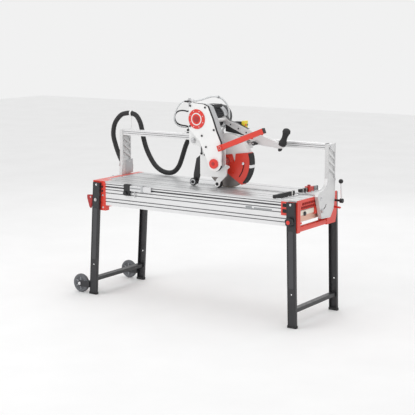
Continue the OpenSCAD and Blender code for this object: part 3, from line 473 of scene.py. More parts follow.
def smooth_path(points, steps):
    """Curve through the points, with steps pieces between each pair."""
    pts = [Vector(p) for p in points]
    out = []
    n = len(pts)
    for i in range(n - 1):
        a, b, c, d = pts[max(i - 1, 0)], pts[i], pts[i + 1], pts[min(i + 2, n - 1)]
        for s in range(steps):
            t = s / steps
            out.append(0.5 * (2 * b + (c - a) * t + (2 * a - 5 * b + 4 * c - d) * t * t
                              + (3 * b - a - 3 * c + d) * t ** 3))
    out.append(pts[-1])
    return out


def tube(name, path, radius, look, body=None, sides=16, rib=0.0, pitch=2):
    """Round tube along a path, with optional corrugations."""
    bm = bmesh.new()
    rings = []
    up = Vector((0.02, 1, 0.03)).normalized()
    for i, p in enumerate(path):
        t = (path[min(i + 1, len(path) - 1)] - path[max(i - 1, 0)]).normalized()
        u = t.cross(up).normalized()
        v = t.cross(u)
        k = 1 + (rib if (i // pitch) % 2 else -rib)
        rings.append([bm.verts.new(at(*(p + (u * math.cos(a) + v * math.sin(a)) * radius * k)))
                      for a in (2 * math.pi * s / sides for s in range(sides))])
    for p, q in zip(rings, rings[1:]):
        for s in range(sides):
            t = (s + 1) % sides
            bm.faces.new((p[s], p[t], q[t], q[s]))
    bm.faces.new(rings[0])
    bm.faces.new(list(reversed(rings[-1])))
    return new_object(name, bm, look, body, 50)


def fluted(count, depth, low=None, high=None):
    """Wave of count lobes on a turned part, between two heights where they are given."""
    def wave(a, h):
        inside = (low is None or h > low) and (high is None or h < high)
        return 1 + (depth * math.cos(count * a) if inside else 0)
    return wave


def bolt(name, centre, direction, r, h, body, look="bright", socket=True):
    """Screw head with a rounded rim and a hexagon socket, or a hexagon nut."""
    if socket:
        o = lathe(name, [(0, -0.6 * h), (r, -0.6 * h), (r, h * 0.7), (r * 0.9, h), (r * 0.55, h),
                         (r * 0.5, h * 0.4), (0, h * 0.35)], centre, direction, look, body, 24)
    else:
        o = lathe(name, [(0, -0.4 * h), (r * 1.25, -0.4 * h), (r * 1.25, 0), (r, 0), (r, h * 0.9),
                         (r * 0.9, h), (r * 0.5, h), (r * 0.5, h * 1.5), (r * 0.4, h * 1.6),
                         (0, h * 1.6)], centre, direction, look, body, 24)
    return o


def rounded(low, high, r, n=5):
    """Rounded rectangle outline."""
    pts = []
    for cx, cy, a0 in ((high[0] - r, high[1] - r, 0), (low[0] + r, high[1] - r, 90),
                       (low[0] + r, low[1] + r, 180), (high[0] - r, low[1] + r, 270)):
        for s in range(n + 1):
            a = math.radians(a0 + 90 * s / n)
            pts.append((cx + r * math.cos(a), cy + r * math.sin(a)))
    return pts


def about_y(x, z, degrees):
    """Turn about an axis along Y through (x, z), from +X towards +Z."""
    c = Vector((x, 0, z))
    return Matrix.Translation(c) @ Matrix.Rotation(-math.radians(degrees), 4, "Y") @ Matrix.Translation(-c)


def about_z(x, y, degrees):
    """Turn about an upright axis through (x, y)."""
    c = Vector((x, y, 0))
    return Matrix.Translation(c) @ Matrix.Rotation(math.radians(degrees), 4, "Z") @ Matrix.Translation(-c)


# ---------------------------------------------------------------- finishes and painted shade of single faces

RAIL_GROOVES = (781, 744, 721, 683, 661)


def in_groove(c, n):
    """Faces inside the grooves and the side slot of a rail, which are painted dark as shade."""
    if abs(c.y) < 249.9 and abs(c.y) > 246 and abs(c.x) < 900:
        for z in RAIL_GROOVES:
            if abs(c.z - z) < 3.3:
                return True
    return 758.5 < c.z < 769.5 and 237 < abs(c.y) < 249.9


def in_arm_hollow(c, n):
    """Front of the lower arm and the walls of its hollow; the hollow walls are painted black as shade."""
    return (c.y < 7.5 and c.x > 300) or (abs(c.y - 21) < 9.2 and 107 < c.x < 273)


def on_gland(c, n):
    """Gland of the conduit behind the carriage."""
    return c.y > 155 and abs(c.x + 316) < 23 and (c.z < 1121.9 or c.z > 1128.1)


# faces inside the grooves of the rails, decks and beam get the groove_shadow finish: painted shade
for rail in ("front_rail", "back_rail"):
    paint(rail, "groove", in_groove)
for deck in ("front_deck", "back_deck"):
    paint(deck, "groove", lambda c, n: 796.5 < c.z < 799.9 and abs(c.y) > 8 and abs(c.y) < 249)
paint("beam", "groove", lambda c, n: 88.2 < c.y < 90.5 and 1092 < c.z < 1112)
paint("conduit_clips", "white", lambda c, n: c.z > 1070)
paint("roller_arms", "black", lambda c, n: c.x < 50)
paint("switch_box", "black", lambda c, n: c.x < 217.9)
paint("front_stop", "black", lambda c, n: c.x < -481.6)
paint("handle_arm", "black", in_arm_hollow)
# side faces of the belt cover painted dark as shade
paint("belt_cover", "gap_shade", lambda c, n: abs(n.y) < 0.5 and (c.z > 1075 or c.z < 962) and c.y > -165)
paint("lock_bar", "black", lambda c, n: (c.x - BAR[0]) * 0.929 + (c.z - BAR[1]) * 0.37 > 340.2)
paint("fence_bars", "bright", lambda c, n: c.z < 804.2)
paint("motor_body", "bell", lambda c, n: c.y < -66)
paint("head_screws", "bright", lambda c, n: c.y < -170.2 or c.x > 240)
paint("tilt_lever", "bright", lambda c, n: 758 < c.z < 855 and abs(c.x - 859) < 6)
paint("carriage_plate", "steel", lambda c, n: -105 < c.y < 39.5)
paint("carriage_plate", "black", on_gland)
paint("belt_cover", "steel", lambda c, n: c.y < -165.5)
paint("blade_cover", "black", lambda c, n: abs(c.x - 96) < 7.6 and abs(c.y + 2) < 7.6 and c.z > 1151)
paint("valve_tap", "dark_red", lambda c, n: c.y < -126.5)
paint("wheel_forks", "bright", lambda c, n: abs(abs(c.y - 10) - 272) > 18.5 and abs(c.x - WHEEL[0]) < 11)
paint("fence_stop", "black", lambda c, n: c.z > 831.5)
# walls of the honeycomb pockets in the castings painted dark red as shade
paint("left_casting", "dark_red", lambda c, n: abs(c.x) > 796 and abs(c.x) < 804.5 and c.z > 738)
paint("right_casting", "dark_red", lambda c, n: c.x > 796 and c.x < 804.5 and 738 < c.z < 788)
paint("saw_blade", "rim", lambda c, n: math.hypot(c.x - BLADE[0], c.z - BLADE[1]) > 170)

# ---------------------------------------------------------------- cords

CONDUIT = smooth_path([
    (-841.05, 199, 842), (-851, 199, 842), (-861, 199, 842), (-905, 212, 858), (-952, 228, 910),
    (-988, 232, 985), (-1008, 232, 1062), (-992, 232, 1142), (-938, 232, 1203), (-882, 231, 1221),
    (-840, 231, 1222), (-796, 230, 1208), (-760, 226, 1164), (-738, 222, 1104), (-722, 218, 1046),
    (-695, 213, 980), (-658, 209, 920), (-614, 206, 868), (-561, 205, 834), (-501, 205, 822),
    (-448, 205, 834), (-408, 205, 874), (-384, 205, 925), (-364, 205, 980), (-348, 205, 1022),
    (-334, 205, 1050), (-321, 205, 1070), (-316, 205, 1082), (-316, 205, 1088), (-316, 205, 1093.95)], 14)
conduit = tube("conduit", CONDUIT, CONDUIT_R, "rubber", None, 18, 0.012, 2)
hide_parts("power_conduit")
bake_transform(conduit)

CABLE = smooth_path([
    (-322, 205, 1141.05), (-322, 205, 1146), (-322, 205, 1151), (-326, 202, 1157), (-341, 194, 1163),
    (-358, 175, 1167), (-369, 150, 1177), (-371, 125, 1192), (-364, 100, 1213), (-348, 75, 1236),
    (-320, 50, 1260), (-286, 30, 1277), (-248, 18, 1285), (-217, 12, 1285), (-190, 10, 1283),
    (-140, 10, 1297), (-92, 10, 1318), (-56, 10, 1326), (-45, 10, 1326), (-33.05, 10, 1326)], 6)
cable = tube("cable", CABLE, HOSE_R, "rubber", None, 12)
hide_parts("motor_cable")
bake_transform(cable)

LOOP = smooth_path([
    (-309, 205, 1141.05), (-309, 205, 1147), (-309, 205, 1153), (-312, 211, 1158), (-324, 218, 1158),
    (-342, 210, 1153), (-360, 190, 1153), (-372, 160, 1162), (-371, 125, 1178), (-357, 85, 1205),
    (-329, 45, 1238), (-290, 2, 1270), (-245, -40, 1305), (-201, -70, 1336), (-160, -91, 1356),
    (-138, -98, 1362), (-131, -98, 1362), (-124.05, -98, 1362)], 8)
loop = tube("feed_hose", LOOP, HOSE_R, "clear", None, 12)
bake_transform(loop)

HOSE = smooth_path([
    (-69.95, -98, 1366), (-63, -98, 1366), (-56, -98, 1366), (-36, -80, 1370), (-8, -50, 1382),
    (10, -20, 1390), (25, 5, 1391), (41, 28, 1386), (57, 52, 1371), (70, 70, 1349), (81, 82, 1320),
    (85, 88, 1283), (86, 86, 1246), (87, 66, 1212), (90, 36, 1192), (94, 10, 1184), (96, -1, 1178),
    (96, -2, 1170), (96, -2, 1164), (96, -2, 1158.05)], 7)
hose = tube("water_hose", HOSE, WATER_HOSE_R, "clear", "head", 14)
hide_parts("water_hoses")
lathe("hose_clip", [(6.4, 0), (9, 0), (9, 9), (6.4, 9), (6.4, 0)], (38, 24, 1387.5), (0.5, 0.8, -0.2),
      "silver_label", "head", 24)

# ---------------------------------------------------------------- saw head

CASE = [(-66, 1190), (-64, 1330), (-50, 1352), (-36, 1358), (50, 1352), (84, 1338), (120, 1261),
        (151, 1178), (183, 1112), (190, 1040), (185, 986)]
CASE += [(BLADE[0] + 51 * math.cos(math.radians(a)), BLADE[1] + 51 * math.sin(math.radians(a)))
         for a in range(10, -150, -10)]
CASE += [(82, 980), (46, 1056), (20, 1110), (-40, 1168)]


def grown(points, d):
    """Outline moved outwards by d from its middle."""
    cx = sum(p[0] for p in points) / len(points)
    cz = sum(p[1] for p in points) / len(points)
    out = []
    for x, z in points:
        r = math.hypot(x - cx, z - cz)
        out.append((x + (x - cx) / r * d, z + (z - cz) / r * d))
    return out


# dark band round the edge of the cover: painted shadow in the seam between cover and case
prism("cover_seam_shade", grown(CASE, 1.6), "y", -150.4, -147.2, "gap_shade", "head", 0.4)
prism("cover_skin", grown(CASE, -0.6), "y", -166.6, -162.5, "white", "head", 2.0)

# red access disc: light ring, rounded dome, screws and plain concentric rings
lathe("disc_ring", [(63, 0), (67.5, 0), (67.5, 2.4), (66, 3.4), (64, 3.4), (63, 3)],
      (MOTOR[0], COVER_FRONT, MOTOR[1]), FRONT, "label", "head", 96)
lathe("disc_band", [(33.5, 5), (33.5, 8.9), (34.5, 9.6), (39.5, 9.4), (40.5, 8.6), (40.5, 5)],
      (MOTOR[0], COVER_FRONT, MOTOR[1]), FRONT, "label", "head", 96)
lathe("disc_face", [(63.6, 0), (63.6, 5.2), (62, 7), (40, 7.4), (38.5, 6.4), (37, 7.4), (24, 7.8),
                    (22.5, 6.6), (21, 7.8), (8, 8.4), (0, 8.4)], (MOTOR[0], COVER_FRONT, MOTOR[1]), FRONT,
      "red_plastic", "head", 96)
lathe("disc_core", [(21.5, 6.4), (21, 8.8), (19, 9.6), (6, 9.8), (0, 9.8)],
      (MOTOR[0], COVER_FRONT, MOTOR[1]), FRONT, "dark_red", "head", 64)
for k in range(8):
    a = math.radians(22.5 + 45 * k)
    bolt("disc_screw_%d" % k, (MOTOR[0] + 53 * math.cos(a), -172, MOTOR[1] + 53 * math.sin(a)), FRONT,
         2.8, 2.2, "head", "bright")

# red cap over the blade shaft
lathe("cap_face", [(31.6, 0), (31.6, 12), (29, 15.4), (14, 16.2), (12.5, 15), (0, 15)],
      (BLADE[0], COVER_FRONT, BLADE[1]), FRONT, "red_plastic", "head", 72)
lathe("cap_core", [(12, 14.6), (11, 16.6), (6, 17.4), (0, 17.4)], (BLADE[0], COVER_FRONT, BLADE[1]),
      FRONT, "dark_red", "head", 40)

for k, (x, z) in enumerate(((41, 1148), (73, 1077), (-50, 1338), (66, 1332), (134, 1190), (-52, 1206))):
    bolt("cover_bolt_%d" % k, (x, -169.2, z), FRONT, 6.6, 3, "head", "black")
for k, (x, z) in enumerate(((-9.5, 1022), (18, 1017))):
    bolt("plate_bolt_%d" % k, (x, -100.4, z), FRONT, 7.4, 3, "head", "black")
lathe("pointer_tip", [(0, 0), (3.4, 0), (4.2, 2), (4.2, 9), (2, 12), (0, 12)], (-9.5, -99, 1098), UP,
      "black", "head", 20)

# nut of the plunge pin
bolt("plunge_nut", (-75, -104.5, 1105), FRONT, 13, 5, "head", "steel", False)

# motor: end bells, cooling fins and the terminal box lid
for k in range(36):
    a = 10 * k + 4
    if 62 < a < 118:
        continue
    turn = about_y(*MOTOR, a)
    slab("motor_fin_%d" % k, (MOTOR[0] + 65, -69, MOTOR[1] - 1.1), (MOTOR[0] + 75, 47, MOTOR[1] + 1.1),
         "motor", "head", 0.5, turn)
lathe("motor_bell_front", [(60, 0), (74.6, 0), (76, 2), (76, 11), (74, 13), (60, 13)],
      (MOTOR[0], -69.5, MOTOR[1]), FRONT, "bell", "head", 72)
lathe("motor_bell_back", [(60, 0), (75, 0), (76, 1.5), (76, 42), (74.5, 44), (60, 44)],
      (MOTOR[0], 48, MOTOR[1]), BACK, "bell", "head", 72)
lathe("fan_rim", [(70, 0), (76.4, 0), (77, 2), (77, 38), (75, 45), (70, 48.6), (66, 48.8)],
      (MOTOR[0], 92.2, MOTOR[1]), BACK, "black", "head", 72)
for k, r in enumerate((20, 30, 40, 50, 60)):
    lathe("fan_ring_%d" % k, [(r - 1.6, 0), (r + 1.6, 0), (r + 1.6, 1.8), (r - 1.6, 1.8), (r - 1.6, 0)],
          (MOTOR[0], 140, MOTOR[1]), BACK, "black", "head", 60)
prism("terminal_lid", rounded((-35, 1318), (43, 1340), 5), "y", -32, 72, "black", "head", 2.0)
for k, (x, y) in enumerate(((-26, -24), (34, -24), (-26, 64), (34, 64))):
    bolt("terminal_screw_%d" % k, (x, y, 1340), UP, 3.2, 1.6, "head", "bright")
lathe("cable_gland", [(0, 0), (8, 0), (8, 5), (9.5, 6), (9.5, 12), (6.5, 14), (0, 14)], (-46, 10, 1326),
      RIGHT, "black", "head", 24, wave=fluted(6, 0.04))

# handle arm: painted shadow under the arm, web, knob, hole rims and the grip
prism("arm_shadow", [(107, 1214), (160, 1191), (257, 1151), (273, 1145), (240, 1147), (107, 1165)], "y",
      11, 31, "black", "head", 2)
prism("arm_web", [(112, 1254), (142, 1231), (204, 1215), (283, 1183), (384, 1150), (384, 1144), (283, 1176),
                  (204, 1208), (142, 1224), (112, 1242)], "y", 5.6, 8.2, "cast_silver", "head", 1.2)
lathe("arm_knob", [(0, 0), (7, 0), (7, 7), (12.6, 8.5), (13.6, 12), (13.6, 22), (11, 25.5), (0, 26)],
      (337, 8, 1102), FRONT, "black", "head", 36, wave=fluted(6, 0.05, 8))
prism("arm_knob_wing", rounded((338, 1094.5), (368, 1109), 6), "y", -17.4, -7.4, "black", "head", 2)
lathe("arm_knob_cap", [(0, 0), (5.4, 0), (5, 1.4), (0, 1.8)], (337, -17.8, 1102), FRONT, "bell", "head", 24)
for k, x in enumerate((150, 210, 270)):
    lathe("arm_eye_%d" % k, [(6, 0), (9.5, 0), (9.5, 2.2), (8.5, 3), (6.4, 3), (6, 0)],
          (x, 8.2, 1213 - (x - 150) * 0.38), FRONT, "cast_silver", "head", 28)

LEAN = math.radians(20)
GRIP_AXIS = Vector((math.sin(LEAN), 0, math.cos(LEAN)))
GRIP_FOOT = Vector((530, 21, 1096))
grip_profile = [(0, 14)]
for i in range(61):
    h = 14 + 104 * i / 60
    if h < 18:
        base = 25 + (h - 14) * 0.5
    elif h < 94:
        base = 27 - 8.5 * math.sin(math.pi * max(0, (h - 20) / 74))
    else:
        base = 27 - 0.9 * (h - 94) / 4
    if h > 108:
        base -= (h - 108) ** 1.6 * 0.28
    groove = 0.9 * (1 if 34 < h < 92 and i % 4 < 2 else 0)
    grip_profile.append((base - groove, h))
grip_profile.append((0, 119))
grip = lathe("grip", grip_profile, GRIP_FOOT, GRIP_AXIS, "rubber", "head", 48, 40,
             fluted(2, 0.03))
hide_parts("hand_grip")
lathe("grip_collar", [(0, 0), (20, 0), (24, 3), (25, 12), (22, 15), (0, 15)], GRIP_FOOT, GRIP_AXIS, "black",
      "head", 40)
prism("grip_lever", [(508, 1080), (528, 1080), (530, 1070), (522, 1060), (512, 1058), (505, 1066)], "y",
      12, 30, "black", "head", 2.5)

# switch: lid, body and button bezels
prism("switch_lid", [(217.6, 1187.4), (236, 1189), (238, 1238), (217.6, 1238)], "y", 34.2, 81, "yellow",
      "head", 3)
prism("switch_body", rounded((151.5, 1203), (218.4, 1231), 5), "y", 38.5, 77.5, "black", "head", 2)
for k, (y, look) in enumerate(((46, "red_plastic"), (68, "green"))):
    lathe("button_ring_%d" % k, [(6.4, 0), (8.2, 0), (8.2, 2), (7.6, 2.8), (6.4, 2.8), (6.4, 0)],
          (237, y, 1212), RIGHT, "yellow", "head", 32)

# water valve details
lathe("valve_nut_a", [(5, 0), (9, 0), (9, 7), (7, 8), (5, 8)], (-84, -98, 1366), RIGHT, "bright", "head",
      24, wave=fluted(6, 0.05))
lathe("valve_nut_b", [(4, 0), (8, 0), (8, 6), (6.4, 7), (4, 7)], (-112, -98, 1362), LEFT, "black", "head",
      24, wave=fluted(6, 0.05))
prism("tap_handle", rounded((-123, 1355.5), (-95, 1366.5), 4), "y", -133, -125.4, "black", "valve_tap", 2.0)

# carriage bolts and gland nuts
for k, (x, z) in enumerate(((-176, 1140), (-176, 1084), (210, 1116), (210, 1050), (132, 1048))):
    bolt("carriage_bolt_%d" % k, (x, 38.4, z), FRONT, 6, 3, "carriage", "bright")
lathe("conduit_nut", [(18, 0), (22.5, 0), (22.5, 14), (21, 20), (18, 20)], (-316, 205, 1096), UP, "black",
      "carriage", 36, wave=fluted(12, 0.03))
lathe("lower_gland_nut", [(17.3, 0), (20, 0), (20, 6), (18.5, 8), (17.3, 8)], (-841.4, 199, 842), RIGHT,
      "black", "bridge", 36, wave=fluted(12, 0.03))

# guide rollers: rounded tyres, hubs and their bolts
for side, x, y0, y1 in (("left", -89, -84, -62), ("right", 104, -75, -51)):
    body = side + "_guide_roller"
    w = y1 - y0
    r = lathe(side + "_roller_tyre", [(7, 0), (20, 0), (21.5, 1.5), (24.5, 1.5), (26, 4), (26, w - 4),
                                      (24.5, w - 1.5), (21.5, w - 1.5), (20, w), (7, w), (7, 0)],
              (x, y0, ROLLER_Z), BACK, "black", body, 48)
    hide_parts(body)
    lathe(side + "_roller_hub", [(10.4, 0), (19, 0), (18, 1.2), (11, 1.2), (10.4, 0)],
          (x, y0 + 0.2, ROLLER_Z), FRONT, "bell", body, 40)
lathe("right_roller_bolt", [(0, 0), (11, 0), (11, 2.6), (9, 4), (5, 4), (4.6, 2.4), (0, 2.4)],
      (104, -82.8, ROLLER_Z), FRONT, "black", "head", 30)
bolt("left_roller_bolt", (-89, -90.2, ROLLER_Z), FRONT, 6.4, 3.5, "head", "black", False)
for k, (x, z) in enumerate(((-9.5, 1020), (18, 1020))):
    lathe("strap_nut_%d" % k, [(0, 0), (6.5, 0), (6.5, 3), (5.5, 4), (0, 4)], (x, -47.8, z), BACK,
          "black", "head", 24)

# ---------------------------------------------------------------- guard and lock bar

# dark ring in the slot behind the guard: painted shade
ring_arc("slot_back", BLADE, 133, 146, -26.6, -25.8, -46, 21, "gap_shade", "head", 40, 0)
lathe("guard_screw", [(0, -3), (9.4, -3), (9.4, 0), (8, 1.8), (4, 2.2), (3.4, 1), (0, 0.8)],
      (BLADE[0] + 139.5, -40, 969), FRONT, "bright", "head", 32)
band = ring_arc("rubber_band", BLADE, 190.05, 194.6, -30.4, 21.4, -44, 20, "rubber", "guard", 64, 1.2)
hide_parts("guard_edge")
ring_arc("band_lip", BLADE, 184, 195, -32.2, -30.2, -44, 20, "rubber", "guard", 64, 0.6)
ring_arc("band_clip", BLADE, 185, 196.2, -33.0, 22.4, -9, -3, "bright", "guard", 6, 0.8)
ring_arc("guard_hub_ring", BLADE, 31.6, 42, -31.6, -29.8, 0, 360, "red_coat", "guard", 72, 0.8)

BAR_TURN = about_y(*BAR, BAR_LEAN)
prism("bar_end", [(BAR[0] + x, BAR[1] + z) for x, z in rounded((340.2, -17.4), (347, 17.4), 3)], "y",
      -195.6, -167.4, "black", "lock_bar", 2, turn=BAR_TURN)
lathe("bar_boss", [(7, 0), (15, 0), (15, 3), (13, 5), (7, 5), (7, 0)], (BAR[0], -197, BAR[1]), FRONT,
      "red_coat", "lock_bar", 40)
bolt("bar_nut", (BAR[0], -203.4, BAR[1]), FRONT, 6.5, 3, "head", "red_coat", False)

# ---------------------------------------------------------------- bridge

for k, side in enumerate((-1, 1)):
    for m, z in enumerate((1092, 1110)):
        bolt("beam_bolt_%d_%d" % (k, m), (side * (UPRIGHT_FACE + 0.5), 113, z), (side, 0, 0), 8.5, 4,
             "bridge", "bright")
    lathe("tilt_washer_%d" % k, [(8.2, 0), (15, 0), (15, 2), (8.2, 2), (8.2, 0)],
          (side * (UPRIGHT_FACE + 0.1), 0, TILT_Z), (side, 0, 0), "bright", "bridge", 32)
    # moulded edge ribs on the outer face of each upright
    prism("upright_rib_a_%d" % k, [(85, 1116), (92, 1116), (92, 905), (78, 858), (70, 860), (85, 905)], "x",
          side * (UPRIGHT_FACE - 0.6), side * (UPRIGHT_FACE + 2.4), "cast_silver", "bridge", 1.2)
    prism("upright_rib_b_%d" % k,
          [(172, 1116), (179, 1116), (179, 790), (166, 708), (160, 710), (172, 790)], "x",
          side * (UPRIGHT_FACE - 0.6), side * (UPRIGHT_FACE + 2.4), "cast_silver", "bridge", 1.2)
prism("sector_rib", [(160, 708), (166, 704), (122, 650), (12, 656), (14, 662), (118, 657)], "x",
      UPRIGHT_FACE - 0.6, UPRIGHT_FACE + 2.6, "cast_silver", "bridge", 1.2)
prism("beam_cap_right", rounded((86.5, 1080.5), (139.5, 1121.5), 4), "x", 805.6, 808.2, "black", "bridge",
      0.8)
prism("back_catch", [(180, 872), (191, 874), (194, 886), (190, 899), (180, 901)], "x", 812, 830, "bell",
      "bridge", 1.5)
prism("jbox_face", rounded((115, 806), (197, 902), 4), "x", -808.6, -805.5, "case_grey", "bridge", 0.6)

# ---------------------------------------------------------------- table

# plain rail plates without lettering, and the screws of the front flanges; the holes of the flanges are
# dark pieces of painted shade
slab("rail_plate_a", (430, -251.1, 716), (476, -249.6, 738), "silver_label", "table", 0.4)
slab("rail_plate_b", (492, -251.1, 721), (621, -249.6, 733), "silver_label", "table", 0.4)
for k, z in enumerate((731, 760)):
    lathe("flange_hole_%d" % k, [(0, 0), (7.6, 0), (7.6, 0.6), (0, 0.6)], (-726, -251.2, z), FRONT, "gap_shade",
          "table", 28)
for k, z in enumerate((730, 766)):
    slab("ear_hole_%d" % k, (699, -251.6, z - 11), (725, -250.9, z + 11), "gap_shade", "table", 0.2)
for k, z in enumerate((702, 618)):
    lathe("flange_screw_%d" % k, [(0, 0), (7, 0), (6.6, 0.5), (3, 0.5), (2.6, 0.2), (0, 0.2)],
          (-722, -251.6, z), FRONT, "bright", "table", 28)
# tank: rolled lips, end skins with a painted cream reflection above and a painted red reflection below, and
# drain plug
for k, (lo, hi) in enumerate((((-797, -207, 728), (797, -203, 733)), ((-797, 125, 728), (797, 129, 733)))):
    slab("tank_lip_%d" % k, lo, hi, "stainless", "table", 1.2)
# end of the tank: cream painted reflection on top, red painted reflection below
slab("tank_end_cream_reflection", (795.2, -204, 700), (796.2, 126, 729), "cream", "table", 0.4)
slab("tank_end_red_reflection", (795.2, -204, 662), (796.2, 126, 700), "red_reflection", "table", 0.4)
lathe("drain_plug", [(0, 0), (8, 0), (8, 2), (13, 3), (14, 6), (12, 10), (7, 11), (0, 11)],
      (794, -150, 708), RIGHT, "motor", "table", 40, wave=fluted(10, 0.04, 2.5))
# lifting bars with rounded skins
for k, side in enumerate((-1, 1)):
    tube("bar_skin_%d" % k, [Vector((side * 785, y, 616)) for y in (-213.5, -100, 20, 129)], 19.4,
         "red_coat", "table", 28)
# honeycomb: floors of the pockets painted dark as shade
HEX = [(math.cos(math.radians(60 * s)), math.sin(math.radians(60 * s))) for s in range(6)]
for side in (-1, 1):
    for row in (0, 1):
        for i in range(8):
            y, z = -196 + i * 25 + row * 12.5, 750 + row * 22
            prism("pocket_%s_%d_%d" % ("rl"[side < 0], row, i),
                  [(y + 9.8 * u, z + 9.8 * w) for u, w in HEX], "x", side * 796.4, side * 797.6, "pocket_shade",
                  "table", 0.2)
# right catch at the back post
prism("back_lever", [(806, 706), (846, 702), (852, 696), (846, 690), (806, 694)], "y", 226, 238,
      "red_plastic", "table", 2)

# fence: skins, base strips, plain markers and the sliding stop
FENCE = about_z(FENCE_X, 0, -2.5)


def fence_slab(name, low, high, look, body="table", bevel=0.8):
    """Block in the frame of the turned fence."""
    pts = [(FENCE_X + low[0], low[2]), (FENCE_X + high[0], low[2]), (FENCE_X + high[0], high[2]),
           (FENCE_X + low[0], high[2])]
    return prism(name, pts, "y", low[1], high[1], look, body, bevel, 35, FENCE)


for k, (y0, y1) in enumerate(((-265, -35), (29, 249))):
    fence_slab("fence_skin_%d" % k, (-8.7, y0, 804.9), (8.7, y1, 825.6), "fence", bevel=1.6)
    fence_slab("fence_foot_%d" % k, (-15.5, max(y0, -247), 799.8), (45, min(y1, 247), 804.8), "bright",
               bevel=1.0)
for k, (y0, y1, look) in enumerate(((-72, -60, "label"), (60, 66, "label"), (104, 110, "cream"))):
    fence_slab("fence_mark_%d" % k, (-9.4, y0, 805.4), (9.4, y1, 826.1), look, bevel=0.4)
fence_slab("fence_tail", (-9.3, 200, 805.4), (9.3, 236, 826.1), "silver_label", bevel=0.8)
fence_slab("fence_stop_skin", (-16, 121, 805.2), (-11, 175, 832), "red_plastic", "fence_stop", 2.0)
lathe("fence_stop_knob", [(0, 0), (7, 0), (10, 2), (10.6, 5), (10, 8), (7, 10), (0, 10)],
      FENCE @ Vector((FENCE_X, 148, 831)), UP, "dark_red", "fence_stop", 36, wave=fluted(6, 0.05))

# front stop
prism("stop_block", rounded((-529, 719), (-481, 797), 7), "y", -268, -250.6, "black", "front_stop", 2.5)
lathe("stop_knob", [(0, 0), (10, 0), (13.5, 3), (14, 12), (12, 16), (0, 17)], (-512, -266, 737), FRONT,
      "black", "front_stop", 36, wave=fluted(7, 0.06))
prism("stop_rail", rounded((-482, 754.5), (-304.5, 788.5), 2), "y", -263.4, -253.4, "bright",
      "front_stop", 1.0)
# darker strip for the groove of the stop rail: painted groove shade
prism("stop_rail_groove_shade", rounded((-478, 768), (-390, 777), 1.5), "y", -264.0, -262.8, "silver_label",
      "front_stop", 0.3)
prism("stop_rail_end", rounded((-387, 751), (-371, 794), 2), "y", -266.4, -253.0, "case_grey",
      "front_stop", 1.2)

# left leg catch
prism("catch_skin", [(-815, 698), (-862, 694), (-862, 673), (-842, 609), (-831, 601), (-820, 640)], "y",
      -252.5, -237.8, "dark_red", "leg_lever", 3)
bolt("catch_bolt", (-828, -253, 682), FRONT, 6, 3, "leg_lever", "bright")

# right leg knob
knob = lathe("knob_skin",
             [(0, 0), (24, 0), (27, 3), (28, 8), (28, 16), (25, 21), (18, 23), (17, 27), (0, 27.5)],
             (768, -277.6, 670), FRONT, "black", "leg_knob", 56, wave=fluted(6, 0.06, 2, 22))
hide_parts("leg_knob")
lathe("knob_centre", [(0, 0), (13, 0), (13, 1.6), (10, 3), (0, 3.2)], (768, -303.4, 670), FRONT,
      "red_plastic", "leg_knob", 40)

# tilt lever ball and hub
lathe("ball", [(0, -15)] + [(15 * math.cos(math.radians(a)), 15 * math.sin(math.radians(a)))
                            for a in range(-80, 81, 10)] + [(0, 15)], (859, 210, 871), UP, "black",
      "tilt_lever", 40, 60)
lathe("lever_hub", [(0, 0), (12, 0), (15, 3), (15, 18), (12, 21), (0, 21)], (847.5, 226, 743), RIGHT,
      "black", "tilt_lever", 40)

# ---------------------------------------------------------------- legs, feet and wheels


def leg_point(side, splay, x, y, z):
    """A point of a leg's own frame in the table frame."""
    a = math.radians(splay) * side
    return Vector((side * 768 + x * math.cos(a) - z * math.sin(a), y,
                   670 + z * math.cos(a) + x * math.sin(a)))


def leg_prism(name, side, splay, points, y0, y1, look, body, bevel=1.5):
    """Outline in a leg frame, extruded across the leg."""
    pts = []
    for x, z in points:
        p = leg_point(side, splay, x, 0, z)
        pts.append((p.x, p.z))
    return prism(name, pts, "y", y0, y1, look, body, bevel)


for side, splay, body in ((-1, 3.4, "left_leg_frame"), (1, 1.5, "right_leg_frame")):
    tag = "left" if side < 0 else "right"
    for row, y in (("front", -272), ("back", 292)):
        face = -1 if row == "front" else 1
        # raised rims along the web of the channel, and a lighter panel painted as sheen on the front
        for e, x in enumerate((-28.2, 24.2)):
            leg_prism("%s_%s_rim_%d" % (tag, row, e), side, splay, rounded((x, -650), (x + 4, 118), 1.5),
                      y + face * 1.4, y, "leg_black", body, 0.5)
        for m, z in enumerate((0, 105)):
            if tag == "right" and row == "front" and z == 0:
                continue
            p = leg_point(side, splay, 0, 0, z)
            bolt("%s_%s_bolt_%d" % (tag, row, m), (p.x, y + face * (5.4 if z == 0 else 0.6), p.z),
                 (0, face, 0), 9 if z == 0 else 6, 3.4, body, "bright" if z else "steel", False)
    leg_prism(tag + "_sheen_panel", side, splay, rounded((-17, -420), (17, -60), 8), -273.6, -272, "leg_sheen_panel",
              body, 0.6)
    # foot cups
    for row, y in (("front", -272), ("back", 272)):
        fx = side * (768 + 670 * math.tan(math.radians(splay)))
        pts = rounded((fx - 32, y - 2.4), (fx + 32, y + 22.4), 4)
        prism("%s_%s_foot" % (tag, row), pts, "z", 0, 15.6, "rubber", body, 1.5)

